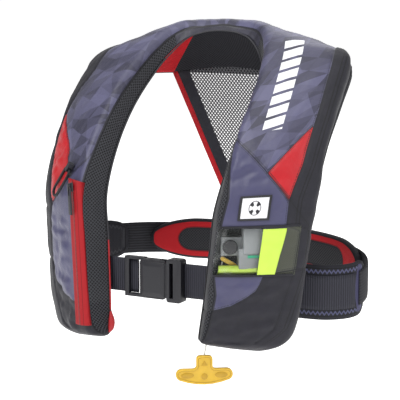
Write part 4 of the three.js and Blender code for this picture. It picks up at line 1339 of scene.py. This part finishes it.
def make_zip_tape():
    """The teeth run straight down the lobe, so the tape is deeper where the lobe bends away from them."""
    low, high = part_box("pocket_zip_tape")
    runs = [r for r in spaced(10, 300, 4) if low.z / MM < zip_point(r)[0].z < high.z / MM]
    start, finish = (zip_point(station_run(k))[0] for k in (1.4, 4))
    down = (start - finish).normalized()
    off = []
    for run in runs:
        p, f = zip_point(run)
        away = p - start
        off.append((away - down * away.dot(down)).dot(f.out))
    rise = max(off)
    rings, uvs, marks = [], [], []
    for (run, f), lag in zip(sections(runs), off):
        middle = -f.half + TAPE_EDGE + TAPE / 2
        ss = [middle + TAPE * (i / 14 - 0.5) for i in range(15)]
        top, under = [], []
        for s in ss:
            face = face_height(f, s) + TAPE_LIFT
            dome = 0.5 * math.exp(-(((s - middle) / 2.6) ** 2)) - 0.5
            top.append(f.at(s, face + TAPE_THICK + rise - lag + dome))
            under.append(f.at(s, face - 0.6))
        rings.append(top + under[::-1])
        uvs.append([(s, run) for s in ss + ss[::-1]])
        marks += [s - middle for s in ss + ss[::-1]]
    return outward(loft("pocket_zip_ribbon", rings, zip_finish(), uvs, {"mark": marks}))


settle(make_zip_tape(), "red_fabric", "pocket_zip_tape")
loop_cloth = plastic("coated_loop", (0.008, 0.008, 0.011), 0.45, grain=0.3)
eased("accessory_loop", "accessory_loop_ring", loop_cloth, "belt_webbing", 1.1)
eased("loop_anchor", "loop_anchor_tab", black_cloth, "belt_webbing", 0.7)


# ---- Pull handle ----


def make_handle():
    """The T handle: a raised rim round a sunk face on each side."""
    piece = node_copy("pull_handle", "pull_handle_grip", handle_plastic)
    for way in (front_way, -front_way):
        face_towards(piece, way, 0.95)
        bpy.ops.mesh.inset(thickness=2.4 * MM, depth=0, use_even_offset=True)
        bpy.ops.mesh.inset(thickness=1.1 * MM, depth=-1.2 * MM, use_even_offset=True)
        bpy.ops.object.mode_set(mode="OBJECT")
    # a darker copy of the handle's plastic goes on the sloped walls of the sunk faces: painted shade in the
    # recess
    piece.data.materials.append(handle_shade_plastic)
    for face in piece.data.polygons:
        face.material_index = int(0.2 < abs(face.normal.dot(front_way)) < 0.95)
    shaded(rounded(piece, 0.45, 3, 30), 35)
    return piece


def raised_marks():
    """Marks in the handle's sunk faces: a triangle under the cord and a pill in each arm of the bar."""
    up = Vector((0, 0, 1))
    top = cord_end - up * 0.3
    turn = Matrix((side_way, up, side_way.cross(up))).transposed().to_4x4()
    shapes = ((0, -12, 3, 5, 5), (-24, -28.5, 24, 9, 4), (24, -28.5, 24, 9, 4), (0, -30.5, 24, 4.5, 4.5))
    built = []
    for side in (1, -1):
        for x, z, sides, wide, tall in shapes:
            bpy.ops.mesh.primitive_cylinder_add(vertices=sides, radius=MM, depth=1.3 * MM)
            mark = bpy.context.object
            place = top + side_way * x + up * z + front_way * side * 1.9
            mark.data.transform(Matrix.Translation(place * MM) @ turn @ Matrix.Diagonal((wide, tall, 1, 1)))
            built.append(rounded(outward(mark), 0.35))
    marks = joined(built, "pull_handle_marks")
    # the raised marks take the same darker plastic: painted shade
    marks.data.materials.clear()
    marks.data.materials.append(handle_shade_plastic)
    shaded(marks, 35)
    return settle(marks, "yellow_plastic", body="pull_handle")


handle_plastic = plastic("handle_plastic", (0.62, 0.385, 0.024), 0.38)
# the handle's plastic made darker: painted shade for the sunk faces' walls and the raised marks
handle_shade_plastic = plastic("handle_shade_plastic", (0.46, 0.27, 0.012), 0.45)
handle = make_handle()
handle_marks = raised_marks()


# ---- Floor and light ----


def floor_finish():
    f = Finish("studio_floor", Roughness=0.9, Specular_IOR_Level=0.1, Emission_Strength=0.82)
    shade = f.mix(f.noise(f.place(), 2.0), (0.86, 0.86, 0.86), (0.90, 0.90, 0.90))
    return f.feed(Base_Color=shade, Emission_Color=shade)


def studio():
    """A wide flat floor under the jacket."""
    under = (0, 0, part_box("pull_handle")[0].z - 0.03)
    bpy.ops.mesh.primitive_circle_add(vertices=64, radius=40, fill_type="NGON", location=under)
    floor = bpy.context.object
    floor.name = "studio_floor"
    floor.data.materials.append(floor_finish())


def bright_air():
    """Even white air: full white to the eye, dimmer as a light on the jacket."""
    world = bpy.data.worlds.new("studio_air")
    bpy.context.scene.world = world
    world.use_nodes = True
    tree = world.node_tree
    air = tree.nodes["Background"]
    seen = tree.nodes.new("ShaderNodeLightPath")
    strength = tree.nodes.new("ShaderNodeMapRange")
    strength.inputs["To Min"].default_value, strength.inputs["To Max"].default_value = 0.34, 1.0
    tree.links.new(seen.outputs["Is Camera Ray"], strength.inputs["Value"])
    tree.links.new(strength.outputs["Result"], air.inputs["Strength"])
    air.inputs["Color"].default_value = (1, 1, 1, 1)


def soft_light(name, azimuth, elevation, distance, size, power):
    way = away(azimuth, elevation)
    bpy.ops.object.light_add(type="AREA", location=way * distance)
    lamp = looking(bpy.context.object, way)
    lamp.name, lamp.data.size, lamp.data.energy = name, size, power


studio()
bright_air()
soft_light("key_light", -10, 48, 3.0, 1.8, 62)
soft_light("fill_light", 80, 30, 3.0, 2.2, 30)
soft_light("top_light", 20, 85, 2.6, 2.0, 24)
soft_light("back_light", 200, 40, 3.0, 2.2, 26)
bpy.context.scene.view_settings.view_transform = "Standard"
